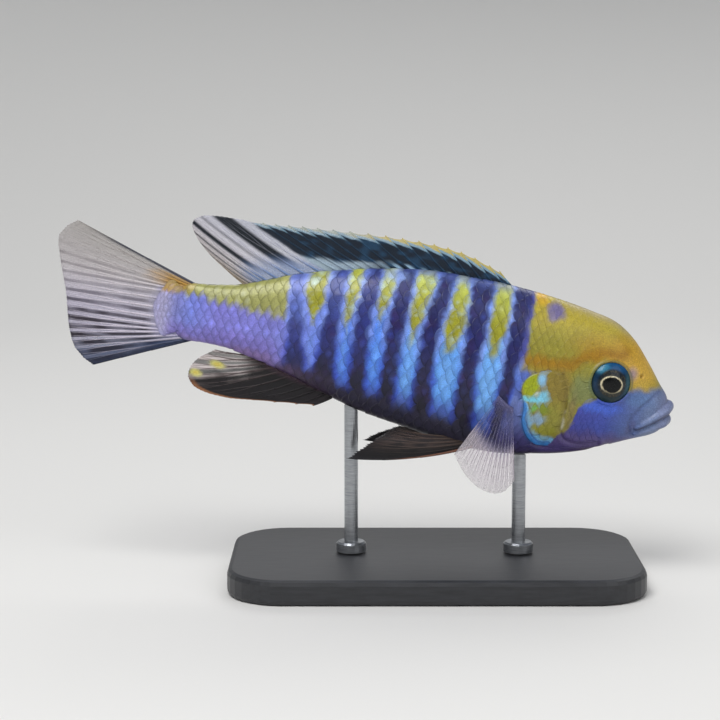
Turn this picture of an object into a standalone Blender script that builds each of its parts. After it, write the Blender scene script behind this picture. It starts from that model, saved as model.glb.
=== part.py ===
"""A male Cynotilapia zebroides, life size, swimming nose down above a plain display stand.

The fish is modelled straight in a frame of its own and then tipped into its pose by one empty.
In that frame u runs back from the snout tip along the standard length, y to the fish's left and
h up, all in millimetres. The finished meshes are in metres, with the head towards +X and +Z up.
"""

import math

import bmesh
import bpy
import numpy as np

MM = 0.001
GAP = 0.3  # left between nodes that touch

# The pose, and where the snout tip is above the middle of the stand
NOSE_DOWN_DEGREES = 11.2
SNOUT_FORWARD = 38.0
SNOUT_UP = 27.6
TAIL_SWAY = 4.0  # how far the swimming bend carries the tip of the tail to the left
SWAY_START = 35.0
SWAY_LENGTH = 65.0

# The body, station by station: back (u, h), belly (u, h), half width, level of the widest point
# between belly and back, roundness of the upper and of the lower half (2 is an ellipse)
STATIONS = (
    ((0.75, 0.4), (0.80, -2.0), 1.30, 0.50, 2.0, 2.0),  # behind the lips
    ((1.40, 2.1), (1.25, -3.6), 2.25, 0.50, 2.0, 2.0),  # tip of the snout
    ((2.90, 3.8), (2.70, -4.8), 3.20, 0.48, 2.0, 2.0),  # upper jaw
    ((5.10, 6.5), (5.60, -6.1), 3.95, 0.48, 2.0, 2.0),  # nostrils
    ((8.30, 9.9), (9.00, -7.7), 4.80, 0.50, 2.1, 2.0),  # front of the eye
    ((11.8, 12.1), (12.8, -9.4), 5.40, 0.52, 2.2, 2.1),  # eye
    ((16.3, 13.1), (17.0, -10.7), 6.00, 0.50, 2.1, 2.1),  # cheek
    ((21.3, 13.8), (21.6, -11.6), 6.45, 0.48, 2.0, 2.1),  # gill cover
    ((27.0, 14.3), (27.0, -12.35), 6.70, 0.48, 1.9, 2.0),  # nape
    ((34.5, 14.6), (34.0, -12.2), 6.60, 0.49, 1.8, 2.0),  # shoulder
    ((42.0, 14.4), (41.5, -11.1), 6.10, 0.50, 1.8, 1.9),  # flank
    ((50.0, 13.2), (49.5, -9.9), 5.20, 0.50, 1.8, 1.8),  # vent
    ((57.0, 11.5), (56.5, -8.0), 4.20, 0.50, 1.8, 1.8),  # behind the vent
    ((64.0, 9.3), (63.5, -6.0), 3.20, 0.50, 1.9, 1.9),  # front of the tail stalk
    ((71.0, 6.4), (71.0, -4.45), 2.40, 0.50, 2.0, 2.0),  # tail stalk
    ((76.0, 5.2), (75.5, -4.2), 1.95, 0.50, 2.0, 2.0),  # rear of the tail stalk
    ((80.0, 4.6), (79.6, -4.4), 1.10, 0.50, 2.0, 2.0),  # root of the tail fin
    ((81.2, 3.1), (80.9, -3.0), 0.75, 0.50, 2.0, 2.0),  # rounded end of the tail bones
)
MOUTH_FRONT = (0.65, -0.6)
STALK_END = (81.9, 0.0)
HEAD_STATIONS = 8
HEAD_RINGS = 3  # rings from one station to the next
BODY_RINGS = 2
RING_SIDES = 28

# Where the body is parted, as lines in the side view
NECK_LINE = (
    (27.4, 18.0), (26.4, 12.0), (25.2, 6.0), (24.2, 2.0), (23.9, -1.5),
    (23.0, -5.0), (21.7, -7.6), (20.6, -9.8), (20.2, -15.0),
)
STALK_LINE = ((71.8, 14.0), (70.2, 0.0), (68.7, -12.0))
MOUTH_LINE = (
    (-3.0, -0.3), (0.3, -0.55), (2.2, -1.8), (4.7, -3.7), (5.9, -4.7), (7.0, -6.2), (9.4, -11.5),
)
GILL_COVER = (
    (19.6, 3.3), (21.6, 3.1), (23.7, 2.2), (24.9, 0.9), (25.2, -0.7), (24.7, -2.1), (24.3, -3.6),
    (24.0, -5.2), (23.2, -6.6), (22.0, -7.8), (20.4, -8.6), (18.9, -8.5), (17.7, -6.2),
    (17.3, -3.0), (17.7, 0.3), (18.5, 2.5),
)
GILL_COVER_PROUD = 0.25
GILL_COVER_DEEP = 0.8
GILL_STEPS = 2

# Lips: two rolls round the mouth, thinning towards its corners
MOUTH_CORNER = (5.4, -4.2)
LIP_RADIUS = 1.02
LIP_CORNER_RADIUS = 0.42
UPPER_LIP = 0.95  # from the mouth line to the middle of the lip, as a share of its radius
LOWER_LIP = -1.2
LIP_BACK = 0.15  # how far the front of the lips' middle line is behind the snout's front
LIP_SUNK = 0.97
LIP_STEPS = 8
LIP_SIDES = 8

# Eyes and nostrils
EYE_PLACE = (11.3, 2.9)
EYE_RADIUS = 3.75
EYE_THICKNESS = 2.3  # half of the flattened ball
EYE_PROUD = 1.0
PUPIL_RADIUS = 1.65
ORBIT_RIM = 0.36
NOSTRIL_PLACE = (6.5, 4.6)
NOSTRIL_RADIUS = 0.45
EYE_SIDES = 22

# Fins: half thicknesses in millimetres
MEMBRANE = 0.26
RAY_ROOT = 0.46
RAY_TIP = 0.30
FLANK = 0.30  # where a ray's ridge meets the membrane, as a share of the way to the next ray

# The stand
BASE_LENGTH = 66.0
BASE_WIDTH = 38.0
BASE_HEIGHT = 4.0
BASE_CORNER = 9.0
BASE_BEVEL = 0.8
ROD_RADIUS = 1.1
COLLAR_RADIUS = 2.4
COLLAR_HEIGHT = 1.6
ROD_SIDES = 24
FRONT_ROD_U = 22.6
REAR_ROD_U = 50.6

POSE = math.radians(NOSE_DOWN_DEGREES)


# Curves


def smooth_curve(points, t):
    """The point at t, counted in control points, of a smooth curve through all of them."""
    points = np.asarray(points, float)
    last = len(points) - 1
    i = min(int(t), last - 1)
    f = t - i
    before = points[max(i - 1, 0)]
    a, b = points[i], points[i + 1]
    after = points[min(i + 2, last)]
    return 0.5 * (
        2 * a
        + (b - before) * f
        + (2 * before - 5 * a + 4 * b - after) * f * f
        + (3 * a - before - 3 * b + after) * f**3
    )


def sample(points, count):
    """That many points evenly along a smooth curve through the control points."""
    last = len(points) - 1
    return [smooth_curve(points, last * k / (count - 1)) for k in range(count)]


def find(rising, target, low, high):
    """Where a rising function reaches the target, by halving."""
    for _ in range(40):
        middle = (low + high) / 2
        if rising(middle) < target:
            low = middle
        else:
            high = middle
    return (low + high) / 2


def closed_curve(points, steps):
    """Points along a smooth closed curve, that many to each control point."""
    looped = [points[-1], *points, points[0], points[1]]
    return [smooth_curve(looped, 1 + i + j / steps) for i in range(len(points)) for j in range(steps)]


def sway(u):
    return TAIL_SWAY * (max(u - SWAY_START, 0.0) / SWAY_LENGTH) ** 2


# The body's surface

STATION_ROWS = [np.hstack([np.hstack(row[:2]), row[2:]]) for row in STATIONS]
LAST_STATION = len(STATIONS) - 1


def station(s):
    """Back and belly points, half width, widest level and roundness at s, counted in stations."""
    row = smooth_curve(STATION_ROWS, s)
    return row[0:2], row[2:4], row[4], row[5], row[6], row[7]


def back_at(u):
    """Height of the back at u."""
    s = find(lambda x: station(x)[0][0], u, 0, LAST_STATION)
    return station(s)[0][1]


def belly_at(u):
    """Height of the belly at u."""
    s = find(lambda x: station(x)[1][0], u, 0, LAST_STATION)
    return station(s)[1][1]


def side_at(u, h):
    """Half width of the body where its side view shows (u, h)."""
    point = np.array([u, h])

    def ahead(s):
        back, belly = station(s)[:2]
        line = back - belly
        away = point - belly
        return line[0] * away[1] - line[1] * away[0]

    s = find(ahead, 0.0, 0, LAST_STATION)
    back, belly, half, waist, n_back, n_belly = station(s)
    line = back - belly
    level = float(np.dot(point - belly, line) / np.dot(line, line))
    if level >= waist:
        rise, n = (level - waist) / (1 - waist), n_back
    else:
        rise, n = (waist - level) / waist, n_belly
    return half * max(1 - min(rise, 1.0) ** n, 0.0) ** (1 / n)


def side_normal(u, h, side):
    """The body's outward direction where its side view shows (u, h)."""
    step = 0.5
    slope_u = (side_at(u + step, h) - side_at(u - step, h)) / (2 * step)
    slope_h = (side_at(u, h + step) - side_at(u, h - step)) / (2 * step)
    out = np.array([-slope_u, side, -slope_h])
    return out / np.linalg.norm(out)


def ring(s, grow):
    """Points round the body at s, grown outwards by that much."""
    back, belly, half, waist, n_back, n_belly = station(s)
    way = (back - belly) / np.linalg.norm(back - belly)
    back, belly = back + way * grow, belly - way * grow
    middle = belly + waist * (back - belly)
    points = []
    for k in range(RING_SIDES):
        angle = 2 * math.pi * k / RING_SIDES
        up, out = math.cos(angle), math.sin(angle)
        n = n_back if up >= 0 else n_belly
        reach = (back - middle) if up >= 0 else (middle - belly)
        place = middle + reach * math.copysign(abs(up) ** (2 / n), up)
        y = (half + grow) * math.copysign(abs(out) ** (2 / n), out)
        points.append((place[0], y, place[1]))
    return points


# Making meshes


def to_local(point):
    """A point (u, y, h) of the straight fish, bent by the sway, in metres."""
    u, y, h = point
    return (-u * MM, (y + sway(u)) * MM, h * MM)


def mesh_object(name, points, faces):
    """An object from points in the fish's frame, with its faces made to point outwards."""
    mesh = bpy.data.meshes.new(name)
    mesh.from_pydata([to_local(p) for p in points], [], faces)
    shape = bmesh.new()
    shape.from_mesh(mesh)
    bmesh.ops.recalc_face_normals(shape, faces=shape.faces)
    shape.to_mesh(mesh)
    shape.free()
    made = bpy.data.objects.new(name, mesh)
    bpy.context.scene.collection.objects.link(made)
    return made


def lofted(name, rings, first, last):
    """A closed skin over rings of points, with a pole at each end."""
    sides = len(rings[0])
    points = [p for r in rings for p in r] + [first, last]
    faces = []
    for i in range(len(rings) - 1):
        for k in range(sides):
            a, b = i * sides + k, i * sides + (k + 1) % sides
            faces.append((a, b, b + sides, a + sides))
    front, rear = len(points) - 2, len(points) - 1
    start = (len(rings) - 1) * sides
    for k in range(sides):
        faces.append((front, (k + 1) % sides, k))
        faces.append((rear, start + k, start + (k + 1) % sides))
    return mesh_object(name, points, faces)


def whole_body(name, grow=0.0):
    steps = [i + j / HEAD_RINGS for i in range(HEAD_STATIONS) for j in range(HEAD_RINGS)]
    steps += [
        i + j / BODY_RINGS for i in range(HEAD_STATIONS, LAST_STATION) for j in range(BODY_RINGS)
    ]
    steps.append(LAST_STATION)
    front = (MOUTH_FRONT[0] - grow, 0.0, MOUTH_FRONT[1])
    rear = (STALK_END[0] + grow, 0.0, STALK_END[1])
    return lofted(name, [ring(s, grow) for s in steps], front, rear)


def prism(name, outline, low, high):
    """The outline of a side view, stretched across the fish from y low to y high."""
    count = len(outline)
    points = [(u, low, h) for u, h in outline] + [(u, high, h) for u, h in outline]
    faces = [tuple(range(count)), tuple(range(2 * count - 1, count - 1, -1))]
    for k in range(count):
        n = (k + 1) % count
        faces.append((k, n, n + count, k + count))
    return mesh_object(name, points, faces)


def wall(name, line):
    """A wall across the fish, as thick as the gap, that follows a line of the side view."""
    points = [np.array(p) for p in sample(line, 3 * len(line))]
    along = [points[min(i + 1, len(points) - 1)] - points[max(i - 1, 0)] for i in range(len(points))]
    sideways = [np.array([-d[1], d[0]]) / np.linalg.norm(d) for d in along]
    one = [p + n * GAP / 2 for p, n in zip(points, sideways)]
    other = [p - n * GAP / 2 for p, n in zip(points, sideways)]
    return prism(name, one + other[::-1], -12.0, 12.0)


def widened(outline, by):
    """A closed outline moved outwards by that much."""
    points = [np.array(p) for p in outline]
    middle = sum(points) / len(points)
    moved = []
    for i, p in enumerate(points):
        d = points[(i + 1) % len(points)] - points[i - 1]
        out = np.array([d[1], -d[0]]) / np.linalg.norm(d)
        if np.dot(out, p - middle) < 0:
            out = -out
        moved.append(p + out * by)
    return moved


def ball(name, place, radii, sides, out=(0.0, 1.0, 0.0)):
    """A ball with its own radius along u, y and h, turned so that y points along out."""
    out = np.array(out)
    ahead = np.cross(out, (0.0, 0.0, 1.0))
    ahead = ahead / np.linalg.norm(ahead)
    up = np.cross(ahead, out)
    shape = bmesh.new()
    bmesh.ops.create_uvsphere(shape, u_segments=sides, v_segments=sides // 2, radius=1.0)
    points = [
        np.array(place)
        + v.co.x * radii[0] * ahead
        + v.co.z * radii[1] * out
        + v.co.y * radii[2] * up
        for v in shape.verts
    ]
    faces = [tuple(v.index for v in f.verts) for f in shape.faces]
    shape.free()
    return mesh_object(name, points, faces)


def roll(name, spine, radii, sides):
    """A round roll of changing radius along a bent spine of points."""
    spine = [np.array(p) for p in spine]
    rings = []
    for i, p in enumerate(spine):
        along = spine[min(i + 1, len(spine) - 1)] - spine[max(i - 1, 0)]
        along = along / np.linalg.norm(along)
        across = np.cross(along, (0.0, 0.0, 1.0))
        across = across / np.linalg.norm(across)
        up = np.cross(across, along)
        rings.append(
            [
                tuple(p + radii[i] * (math.cos(a) * across + math.sin(a) * up))
                for a in (2 * math.pi * k / sides for k in range(sides))
            ]
        )
    first = tuple(spine[0] + (spine[0] - spine[1]) * 0.3)
    last = tuple(spine[-1] + (spine[-1] - spine[-2]) * 0.3)
    return lofted(name, rings, first, last)


# Booleans


def settle(target):
    """Applies the object's modifiers."""
    graph = bpy.context.evaluated_depsgraph_get()
    mesh = bpy.data.meshes.new_from_object(target.evaluated_get(graph))
    target.modifiers.clear()
    target.data = mesh


def combine(target, others, operation, solver="EXACT"):
    """Joins the others to the target, cuts them from it, or keeps what they share."""
    group = bpy.data.collections.new("operands")
    bpy.context.scene.collection.children.link(group)
    for other in others:
        group.objects.link(other)
    change = target.modifiers.new("combine", "BOOLEAN")
    change.operation = operation
    change.operand_type = "COLLECTION"
    change.collection = group
    change.solver = solver
    bpy.context.view_layer.update()
    settle(target)
    for other in others:
        bpy.data.objects.remove(other)
    bpy.data.collections.remove(group)
    return target


def closed_pieces(mesh):
    """The mesh's closed surfaces, as [(volume, middle u, middle h, points, faces)]."""
    shape = bmesh.new()
    shape.from_mesh(mesh)
    bmesh.ops.triangulate(shape, faces=shape.faces)
    left = set(shape.verts)
    found = []
    while left:
        todo = [left.pop()]
        here = set(todo)
        while todo:
            for edge in todo.pop().link_edges:
                for v in edge.verts:
                    if v in left:
                        left.discard(v)
                        here.add(v)
                        todo.append(v)
        order = {v: i for i, v in enumerate(here)}
        points = [tuple(v.co) for v in order]
        faces = [tuple(order[v] for v in f.verts) for f in shape.faces if f.verts[0] in here]
        corners = np.array([[points[i] for i in f] for f in faces])
        volume = float(np.einsum("ij,ij->i", corners[:, 0], np.cross(corners[:, 1], corners[:, 2])).sum() / 6)
        middle = np.array(points).mean(0) / MM
        found.append((volume, -middle[0], middle[2], points, faces))
    shape.free()
    return sorted(found, key=lambda piece: -piece[0])


def piece_object(name, piece):
    mesh = bpy.data.meshes.new(name)
    mesh.from_pydata(piece[3], [], piece[4])
    made = bpy.data.objects.new(name, mesh)
    bpy.context.scene.collection.objects.link(made)
    return made


def keep_largest(target):
    """Leaves the object only its largest closed surface."""
    made = piece_object(target.name + "_kept", closed_pieces(target.data)[0])
    target.data = made.data
    bpy.data.objects.remove(made)
    return target


# Finishes


def finish(name, colour, roughness, metallic=0.0):
    made = bpy.data.materials.new(name)
    made.use_nodes = True
    shader = made.node_tree.nodes["Principled BSDF"]
    shader.inputs["Base Color"].default_value = (*colour, 1.0)
    shader.inputs["Roughness"].default_value = roughness
    shader.inputs["Metallic"].default_value = metallic
    return made


def dress(target, material, crease=40.0):
    target.data.materials.clear()
    target.data.materials.append(material)
    target.data.shade_smooth()
    target.data.set_sharp_from_angle(angle=math.radians(crease))


# The body and its parting


def mouth_at(u):
    """Height of the mouth line at u."""
    share = (u - MOUTH_FRONT[0]) / (MOUTH_CORNER[0] - MOUTH_FRONT[0])
    return MOUTH_FRONT[1] + (MOUTH_CORNER[1] - MOUTH_FRONT[1]) * share


def lip(name, spread):
    """One lip, a roll round the snout, set off from the mouth line by spread."""
    spine, radii = [], []
    for k in range(-LIP_STEPS, LIP_STEPS + 1):
        turn = k / LIP_STEPS * math.pi / 2
        back = 1 - math.cos(turn)
        u = MOUTH_FRONT[0] + (MOUTH_CORNER[0] - MOUTH_FRONT[0]) * back
        radius = LIP_RADIUS + (LIP_CORNER_RADIUS - LIP_RADIUS) * back
        h = mouth_at(u) + spread * radius
        across = max(min(3 * math.sin(turn), 1.0), -1.0)
        y = side_at(u, h) * across
        spine.append((u + LIP_BACK * (1 - back), y * LIP_SUNK, h))
        radii.append(radius)
    return roll(name, spine, radii, LIP_SIDES)


def eye_middle(side):
    """Middle of the eye ball and the way it looks; side is 1 for the left and -1 for the right."""
    u, h = EYE_PLACE
    out = side_normal(u, h, side)
    surface = np.array([u, side * side_at(u, h), h])
    return surface + out * (EYE_PROUD - EYE_THICKNESS), out


def orbit_rim(name, side):
    """The raised ring of skin round an eye."""
    u, h = EYE_PLACE
    sunk = (EYE_THICKNESS - EYE_PROUD) / (EYE_THICKNESS + GAP)
    reach = (EYE_RADIUS + GAP) * math.sqrt(1 - sunk**2) + 0.3 * ORBIT_RIM
    around = 28
    sides = 6
    points = []
    for k in range(around):
        a = 2 * math.pi * k / around
        pu, ph = u + reach * math.cos(a), h + reach * math.sin(a)
        middle = np.array([pu, side * (side_at(pu, ph) - ORBIT_RIM * 0.35), ph])
        outwards = np.array([math.cos(a), 0.0, math.sin(a)])
        across = np.array([0.0, float(side), 0.0])
        for j in range(sides):
            b = 2 * math.pi * j / sides
            points.append(middle + ORBIT_RIM * (math.cos(b) * outwards + math.sin(b) * across))
    faces = []
    for k in range(around):
        n = (k + 1) % around
        for j in range(sides):
            m = (j + 1) % sides
            faces.append((k * sides + j, k * sides + m, n * sides + m, n * sides + j))
    return mesh_object(name, points, faces)


def gill_cover(name, side):
    """The gill cover's plate, standing a little proud of the head."""
    low, high = sorted((side * 1.0, side * 12.0))
    plate = whole_body(name, GILL_COVER_PROUD)
    outline = closed_curve(GILL_COVER, GILL_STEPS)
    combine(plate, [prism("outline", outline, low, high)], "INTERSECT")
    combine(plate, [whole_body("inside", -GILL_COVER_DEEP)], "DIFFERENCE")
    return keep_largest(plate)


def gill_pocket(side):
    """What is cut from the head and trunk to hold a gill cover."""
    low, high = sorted((side * 0.9, side * 12.5))
    outline = closed_curve(widened(GILL_COVER, GAP), GILL_STEPS)
    pocket = prism("pocket", outline, low, high)
    return combine(pocket, [whole_body("inside", -GILL_COVER_DEEP - GAP)], "DIFFERENCE")


def socket(side):
    middle, out = eye_middle(side)
    reach = EYE_RADIUS + GAP
    return ball("socket", middle, (reach, EYE_THICKNESS + GAP, reach), EYE_SIDES, out)


def nostril(side):
    u, h = NOSTRIL_PLACE
    y = side * side_at(u, h)
    return ball("nostril", (u, y, h), (NOSTRIL_RADIUS,) * 3, 10)


def body_nodes():
    """Head, lower jaw, trunk and tail stalk, cut from one body by thin walls."""
    body = whole_body("body")
    rims = [orbit_rim("rim", side) for side in (1, -1)]
    combine(body, [lip("upper_lip", UPPER_LIP), lip("lower_lip", LOWER_LIP), *rims], "UNION")
    keep_largest(body)
    cutters = [gill_pocket(side) for side in (1, -1)]
    cutters += [socket(side) for side in (1, -1)]
    cutters += [nostril(side) for side in (1, -1)]
    for cutter in cutters:
        combine(body, [cutter], "DIFFERENCE")
    for name, line in (("neck", NECK_LINE), ("stalk", STALK_LINE), ("mouth", MOUTH_LINE)):
        combine(body, [wall(name, line)], "DIFFERENCE")
    pieces = closed_pieces(body.data)[:4]
    bpy.data.objects.remove(body)
    pieces.sort(key=lambda piece: piece[1])
    names = ("lower_jaw", "head", "trunk", "tail_stalk")
    return {name: piece_object(name, piece) for name, piece in zip(names, pieces)}


# Eyes


def eye(name, side):
    """A flattened eye ball, with the clear front raised over the pupil."""
    middle, out = eye_middle(side)
    made = ball(name, middle, (EYE_RADIUS, EYE_THICKNESS, EYE_RADIUS), EYE_SIDES, out)
    front = middle + out * (EYE_THICKNESS - 0.75)
    reach = PUPIL_RADIUS * 1.35
    cornea = ball("cornea", front, (reach, 1.0, reach), 16, out)
    combine(made, [cornea], "UNION")
    return keep_largest(made)


# Fins


def fin(name, root, margin, rays, lobes=0.0, bow=0.0, wave=0.0, root_half=RAY_ROOT, rows=5, spines=0):
    """A fin from its root line to its free edge, with its rays raised on both faces.

    root and margin are control points (u, y, h). bow bends the rays within the fin, wave bends
    them out of it, and lobes is how far the membrane is cut in between the first spines' tips.
    """
    steps = [k + f for k in range(rays - 1) for f in (0.0, FLANK, 1 - FLANK)] + [rays - 1]
    middle, halves = [], []
    for x in steps:
        q = x / (rays - 1)
        a = smooth_curve(root, q * (len(root) - 1))
        b = smooth_curve(margin, q * (len(margin) - 1))
        on_ray = abs(x - round(x)) < 1e-6
        if x <= spines:
            b = b + (b - a) / np.linalg.norm(b - a) * (0.35 if on_ray else -lobes)
        length = np.linalg.norm(b - a)
        bend = np.cross(b - a, (0.0, 1.0, 0.0)) / length
        column, half = [], []
        for j in range(rows):
            v = j / (rows - 1)
            p = a + (b - a) * v + bend * bow * length * 4 * v * (1 - v)
            p = p + np.array([0.0, wave * v * v * math.sin(3 * math.pi * q), 0.0])
            thick = root_half + (RAY_TIP - root_half) * min(v * 1.6, 1.0)
            column.append(p)
            fade = root_half + (MEMBRANE - root_half) * min(v * 5, 1.0)
            half.append(thick if on_ray else fade)
        middle.append(column)
        halves.append(half)
    middle = np.array(middle)
    across = np.gradient(middle, axis=0)
    along = np.gradient(middle, axis=1)
    normal = np.cross(across, along)
    normal /= np.linalg.norm(normal, axis=2)[:, :, None]
    offset = normal * np.array(halves)[:, :, None]
    return plate(name, middle + offset, middle - offset)


def plate(name, front, back):
    """A closed plate between two like grids of points, split into triangles alike on both."""
    columns, rows = front.shape[:2]
    points = [tuple(p) for p in front.reshape(-1, 3)] + [tuple(p) for p in back.reshape(-1, 3)]
    half = columns * rows
    faces = []
    for i in range(columns - 1):
        for j in range(rows - 1):
            a, b = i * rows + j, (i + 1) * rows + j
            for tri in ((a, b, b + 1), (a, b + 1, a + 1)):
                faces.append(tri)
                faces.append(tuple(half + n for n in tri[::-1]))
    rim = [i * rows for i in range(columns)]
    rim += [(columns - 1) * rows + j for j in range(1, rows)]
    rim += [i * rows + rows - 1 for i in range(columns - 2, -1, -1)]
    rim += [j for j in range(rows - 2, 0, -1)]
    for k, a in enumerate(rim):
        b = rim[(k + 1) % len(rim)]
        faces.append((b, a, half + a))
        faces.append((b, half + a, half + b))
    return mesh_object(name, points, faces)


def dorsal_fin():
    roots = (28.6, 33.0, 38.0, 43.0, 48.0, 52.0, 56.0, 60.0, 63.5, 66.3, 68.2, 69.3, 70.2)
    margin = (
        (31.6, 16.0), (37.5, 17.6), (43.5, 18.1), (50.5, 18.1), (58.0, 17.7), (64.5, 17.2),
        (70.0, 16.7), (75.2, 16.4), (79.6, 15.9), (81.4, 14.4), (80.6, 12.2), (78.0, 9.9),
        (74.3, 8.0),
    )
    root = [(u, 0.0, back_at(u) + GAP) for u in roots]
    edge = [(u, 0.0, h) for u, h in margin]
    return fin("dorsal_fin", root, edge, rays=26, spines=17, lobes=0.55, bow=-0.02, wave=0.35)


def anal_fin():
    roots = (53.3, 55.0, 57.0, 59.2, 61.4, 63.3, 65.0, 66.6)
    margin = (
        (56.6, -10.7), (60.8, -11.2), (66.0, -11.8), (71.0, -12.3), (75.6, -11.8), (77.5, -10.0),
        (76.8, -7.4), (74.0, -5.0),
    )
    root = [(u, 0.0, belly_at(u) - GAP) for u in roots]
    edge = [(u, 0.0, h) for u, h in margin]
    return fin("anal_fin", root, edge, rays=11, spines=3, lobes=0.5, bow=-0.03, wave=0.3)


def tail_fin():
    rim = []
    for s in (LAST_STATION - 1.35, LAST_STATION - 1, LAST_STATION - 0.5, LAST_STATION):
        rim.append(tuple(station(s)[0]))
    rim.append(STALK_END)
    for s in (LAST_STATION, LAST_STATION - 0.5, LAST_STATION - 1, LAST_STATION - 1.35):
        rim.append(tuple(station(s)[1]))
    rim = widened(rim, GAP)
    margin = (
        (99.9, 11.0), (102.0, 7.7), (101.4, 4.6), (100.5, 1.8), (99.5, -0.9), (98.8, -4.0),
        (98.3, -6.9), (97.0, -9.6), (93.2, -11.7),
    )
    root = [(u, 0.0, h) for u, h in rim]
    edge = [(u, 0.6 * math.sin(h / 4.0), h) for u, h in margin]
    return fin("tail_fin", root, edge, rays=17, wave=0.4, rows=6)


def paired_fin(name, side, root, margin, lobe, **kind):
    """A fin of one side on a fleshy lobe, cut so that it lies against the body."""
    rows = [(u, side * y, h) for u, y, h in root]
    edge = [(u, side * y, h) for u, y, h in margin]
    made = fin(name, rows, edge, **kind)
    (u, y, h), radii = lobe
    flesh = ball("lobe", (u, side * y, h), radii, 12, side_normal(u, h, side))
    combine(made, [flesh], "UNION", "MANIFOLD")
    combine(made, [whole_body("against", GAP)], "DIFFERENCE", "MANIFOLD")
    return keep_largest(made)


def pectoral_fin(name, side, line, margin):
    """A pectoral fin behind a gill cover; line is its root in the side view."""
    root = [(u, side_at(u, h) + 0.55, h) for u, h in line]
    u, h = (line[1][0] + line[2][0]) / 2, (line[1][1] + line[2][1]) / 2
    reach = [abs(line[0][i] - line[-1][i]) / 2 + 0.4 for i in (0, 1)]
    lobe = ((u, side_at(u, h) + 0.3, h), (reach[0], 0.8, reach[1]))
    return paired_fin(name, side, root, margin, lobe, rays=13, wave=0.3, root_half=0.5)


def pelvic_fin(name, side, margin):
    """A pelvic fin under the breast."""
    root = ((31.9, 2.2, -10.4), (31.2, 2.6, -11.0), (30.4, 2.9, -11.7))
    lobe = ((30.8, 2.4, -11.2), (1.7, 0.9, 0.9))
    return paired_fin(name, side, root, margin, lobe, rays=6, wave=0.2, root_half=0.5)


def fins():
    """All seven fins. The right ones are as the picture shows them."""
    root_down = ((28.3, -2.3), (27.5, -2.9), (26.7, -3.4), (25.9, -3.8))
    root_back = ((27.2, -1.8), (26.9, -2.8), (26.5, -3.8), (26.2, -4.7))
    fan_down = (
        (33.6, 8.6, -12.7), (31.6, 9.2, -15.2), (29.3, 9.6, -16.8), (26.8, 9.8, -17.4),
        (24.8, 9.8, -16.9), (23.5, 9.6, -14.9),
    )
    fan_back = (
        (40.6, 9.8, -0.9), (40.6, 10.3, -4.0), (39.4, 10.6, -7.0), (37.2, 10.6, -9.5),
        (34.4, 10.3, -11.2), (31.6, 9.8, -12.0),
    )
    right_pelvic = ((43.0, 4.2, -11.6), (45.9, 4.8, -12.8), (48.1, 5.6, -14.6), (50.2, 6.2, -17.0))
    left_pelvic = ((42.6, 4.4, -11.9), (44.2, 5.2, -12.9), (46.0, 6.2, -14.2), (47.8, 6.8, -15.8))
    return {
        "dorsal_fin": dorsal_fin(),
        "anal_fin": anal_fin(),
        "tail_fin": tail_fin(),
        "pectoral_fin_right": pectoral_fin("pectoral_fin_right", -1, root_down, fan_down),
        "pectoral_fin_left": pectoral_fin("pectoral_fin_left", 1, root_back, fan_back),
        "pelvic_fin_right": pelvic_fin("pelvic_fin_right", -1, right_pelvic),
        "pelvic_fin_left": pelvic_fin("pelvic_fin_left", 1, left_pelvic),
    }


# The stand, in the world's own frame


def world_of(u, y, h):
    """Where a point of the fish comes to lie in the world, in millimetres."""
    x = SNOUT_FORWARD - u * math.cos(POSE) + h * math.sin(POSE)
    z = SNOUT_UP + u * math.sin(POSE) + h * math.cos(POSE)
    return (x, y + sway(u), z)


def belly_above(x, y):
    """Height of the belly's surface straight above a point of the stand."""
    low, high = 10.0, 75.0
    u = find(lambda v: -world_of(v, 0.0, belly_at(v))[0], -x, low, high)
    s = find(lambda v: station(v)[1][0], u, 0, LAST_STATION)
    back, belly, half, waist, _, n_belly = station(s)
    share = min(abs(y - sway(u)) / half, 1.0)
    drop = (1 - share**n_belly) ** (1 / n_belly)
    middle = belly[1] + waist * (back[1] - belly[1])
    return world_of(u, 0.0, middle - (middle - belly[1]) * drop)[2]


def stand_rod(name, at_u):
    """A round rod with a collar at its foot, its top cut to lie along the belly."""
    x, y, _ = world_of(at_u, 0.0, belly_at(at_u))
    foot = BASE_HEIGHT + GAP
    profile = (
        (COLLAR_RADIUS, foot), (COLLAR_RADIUS, foot + COLLAR_HEIGHT - 0.3),
        (COLLAR_RADIUS - 0.3, foot + COLLAR_HEIGHT), (ROD_RADIUS, foot + COLLAR_HEIGHT),
    )
    shape = bmesh.new()
    rows = []
    turns = [2 * math.pi * k / ROD_SIDES for k in range(ROD_SIDES)]
    for radius, z in profile:
        rows.append([(x + radius * math.cos(a), y + radius * math.sin(a), z) for a in turns])
    top = []
    for a in turns:
        px, py = x + ROD_RADIUS * math.cos(a), y + ROD_RADIUS * math.sin(a)
        top.append((px, py, belly_above(px, py) - GAP))
    rows.append(top)
    verts = [[shape.verts.new([c * MM for c in p]) for p in row] for row in rows]
    for lower, upper in zip(verts, verts[1:]):
        for k in range(ROD_SIDES):
            n = (k + 1) % ROD_SIDES
            shape.faces.new((lower[k], lower[n], upper[n], upper[k]))
    shape.faces.new(verts[0])
    crown = shape.verts.new([x * MM, y * MM, (belly_above(x, y) - GAP) * MM])
    for k in range(ROD_SIDES):
        shape.faces.new((verts[-1][k], verts[-1][(k + 1) % ROD_SIDES], crown))
    bmesh.ops.recalc_face_normals(shape, faces=shape.faces)
    mesh = bpy.data.meshes.new(name)
    shape.to_mesh(mesh)
    shape.free()
    made = bpy.data.objects.new(name, mesh)
    bpy.context.scene.collection.objects.link(made)
    return made


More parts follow.
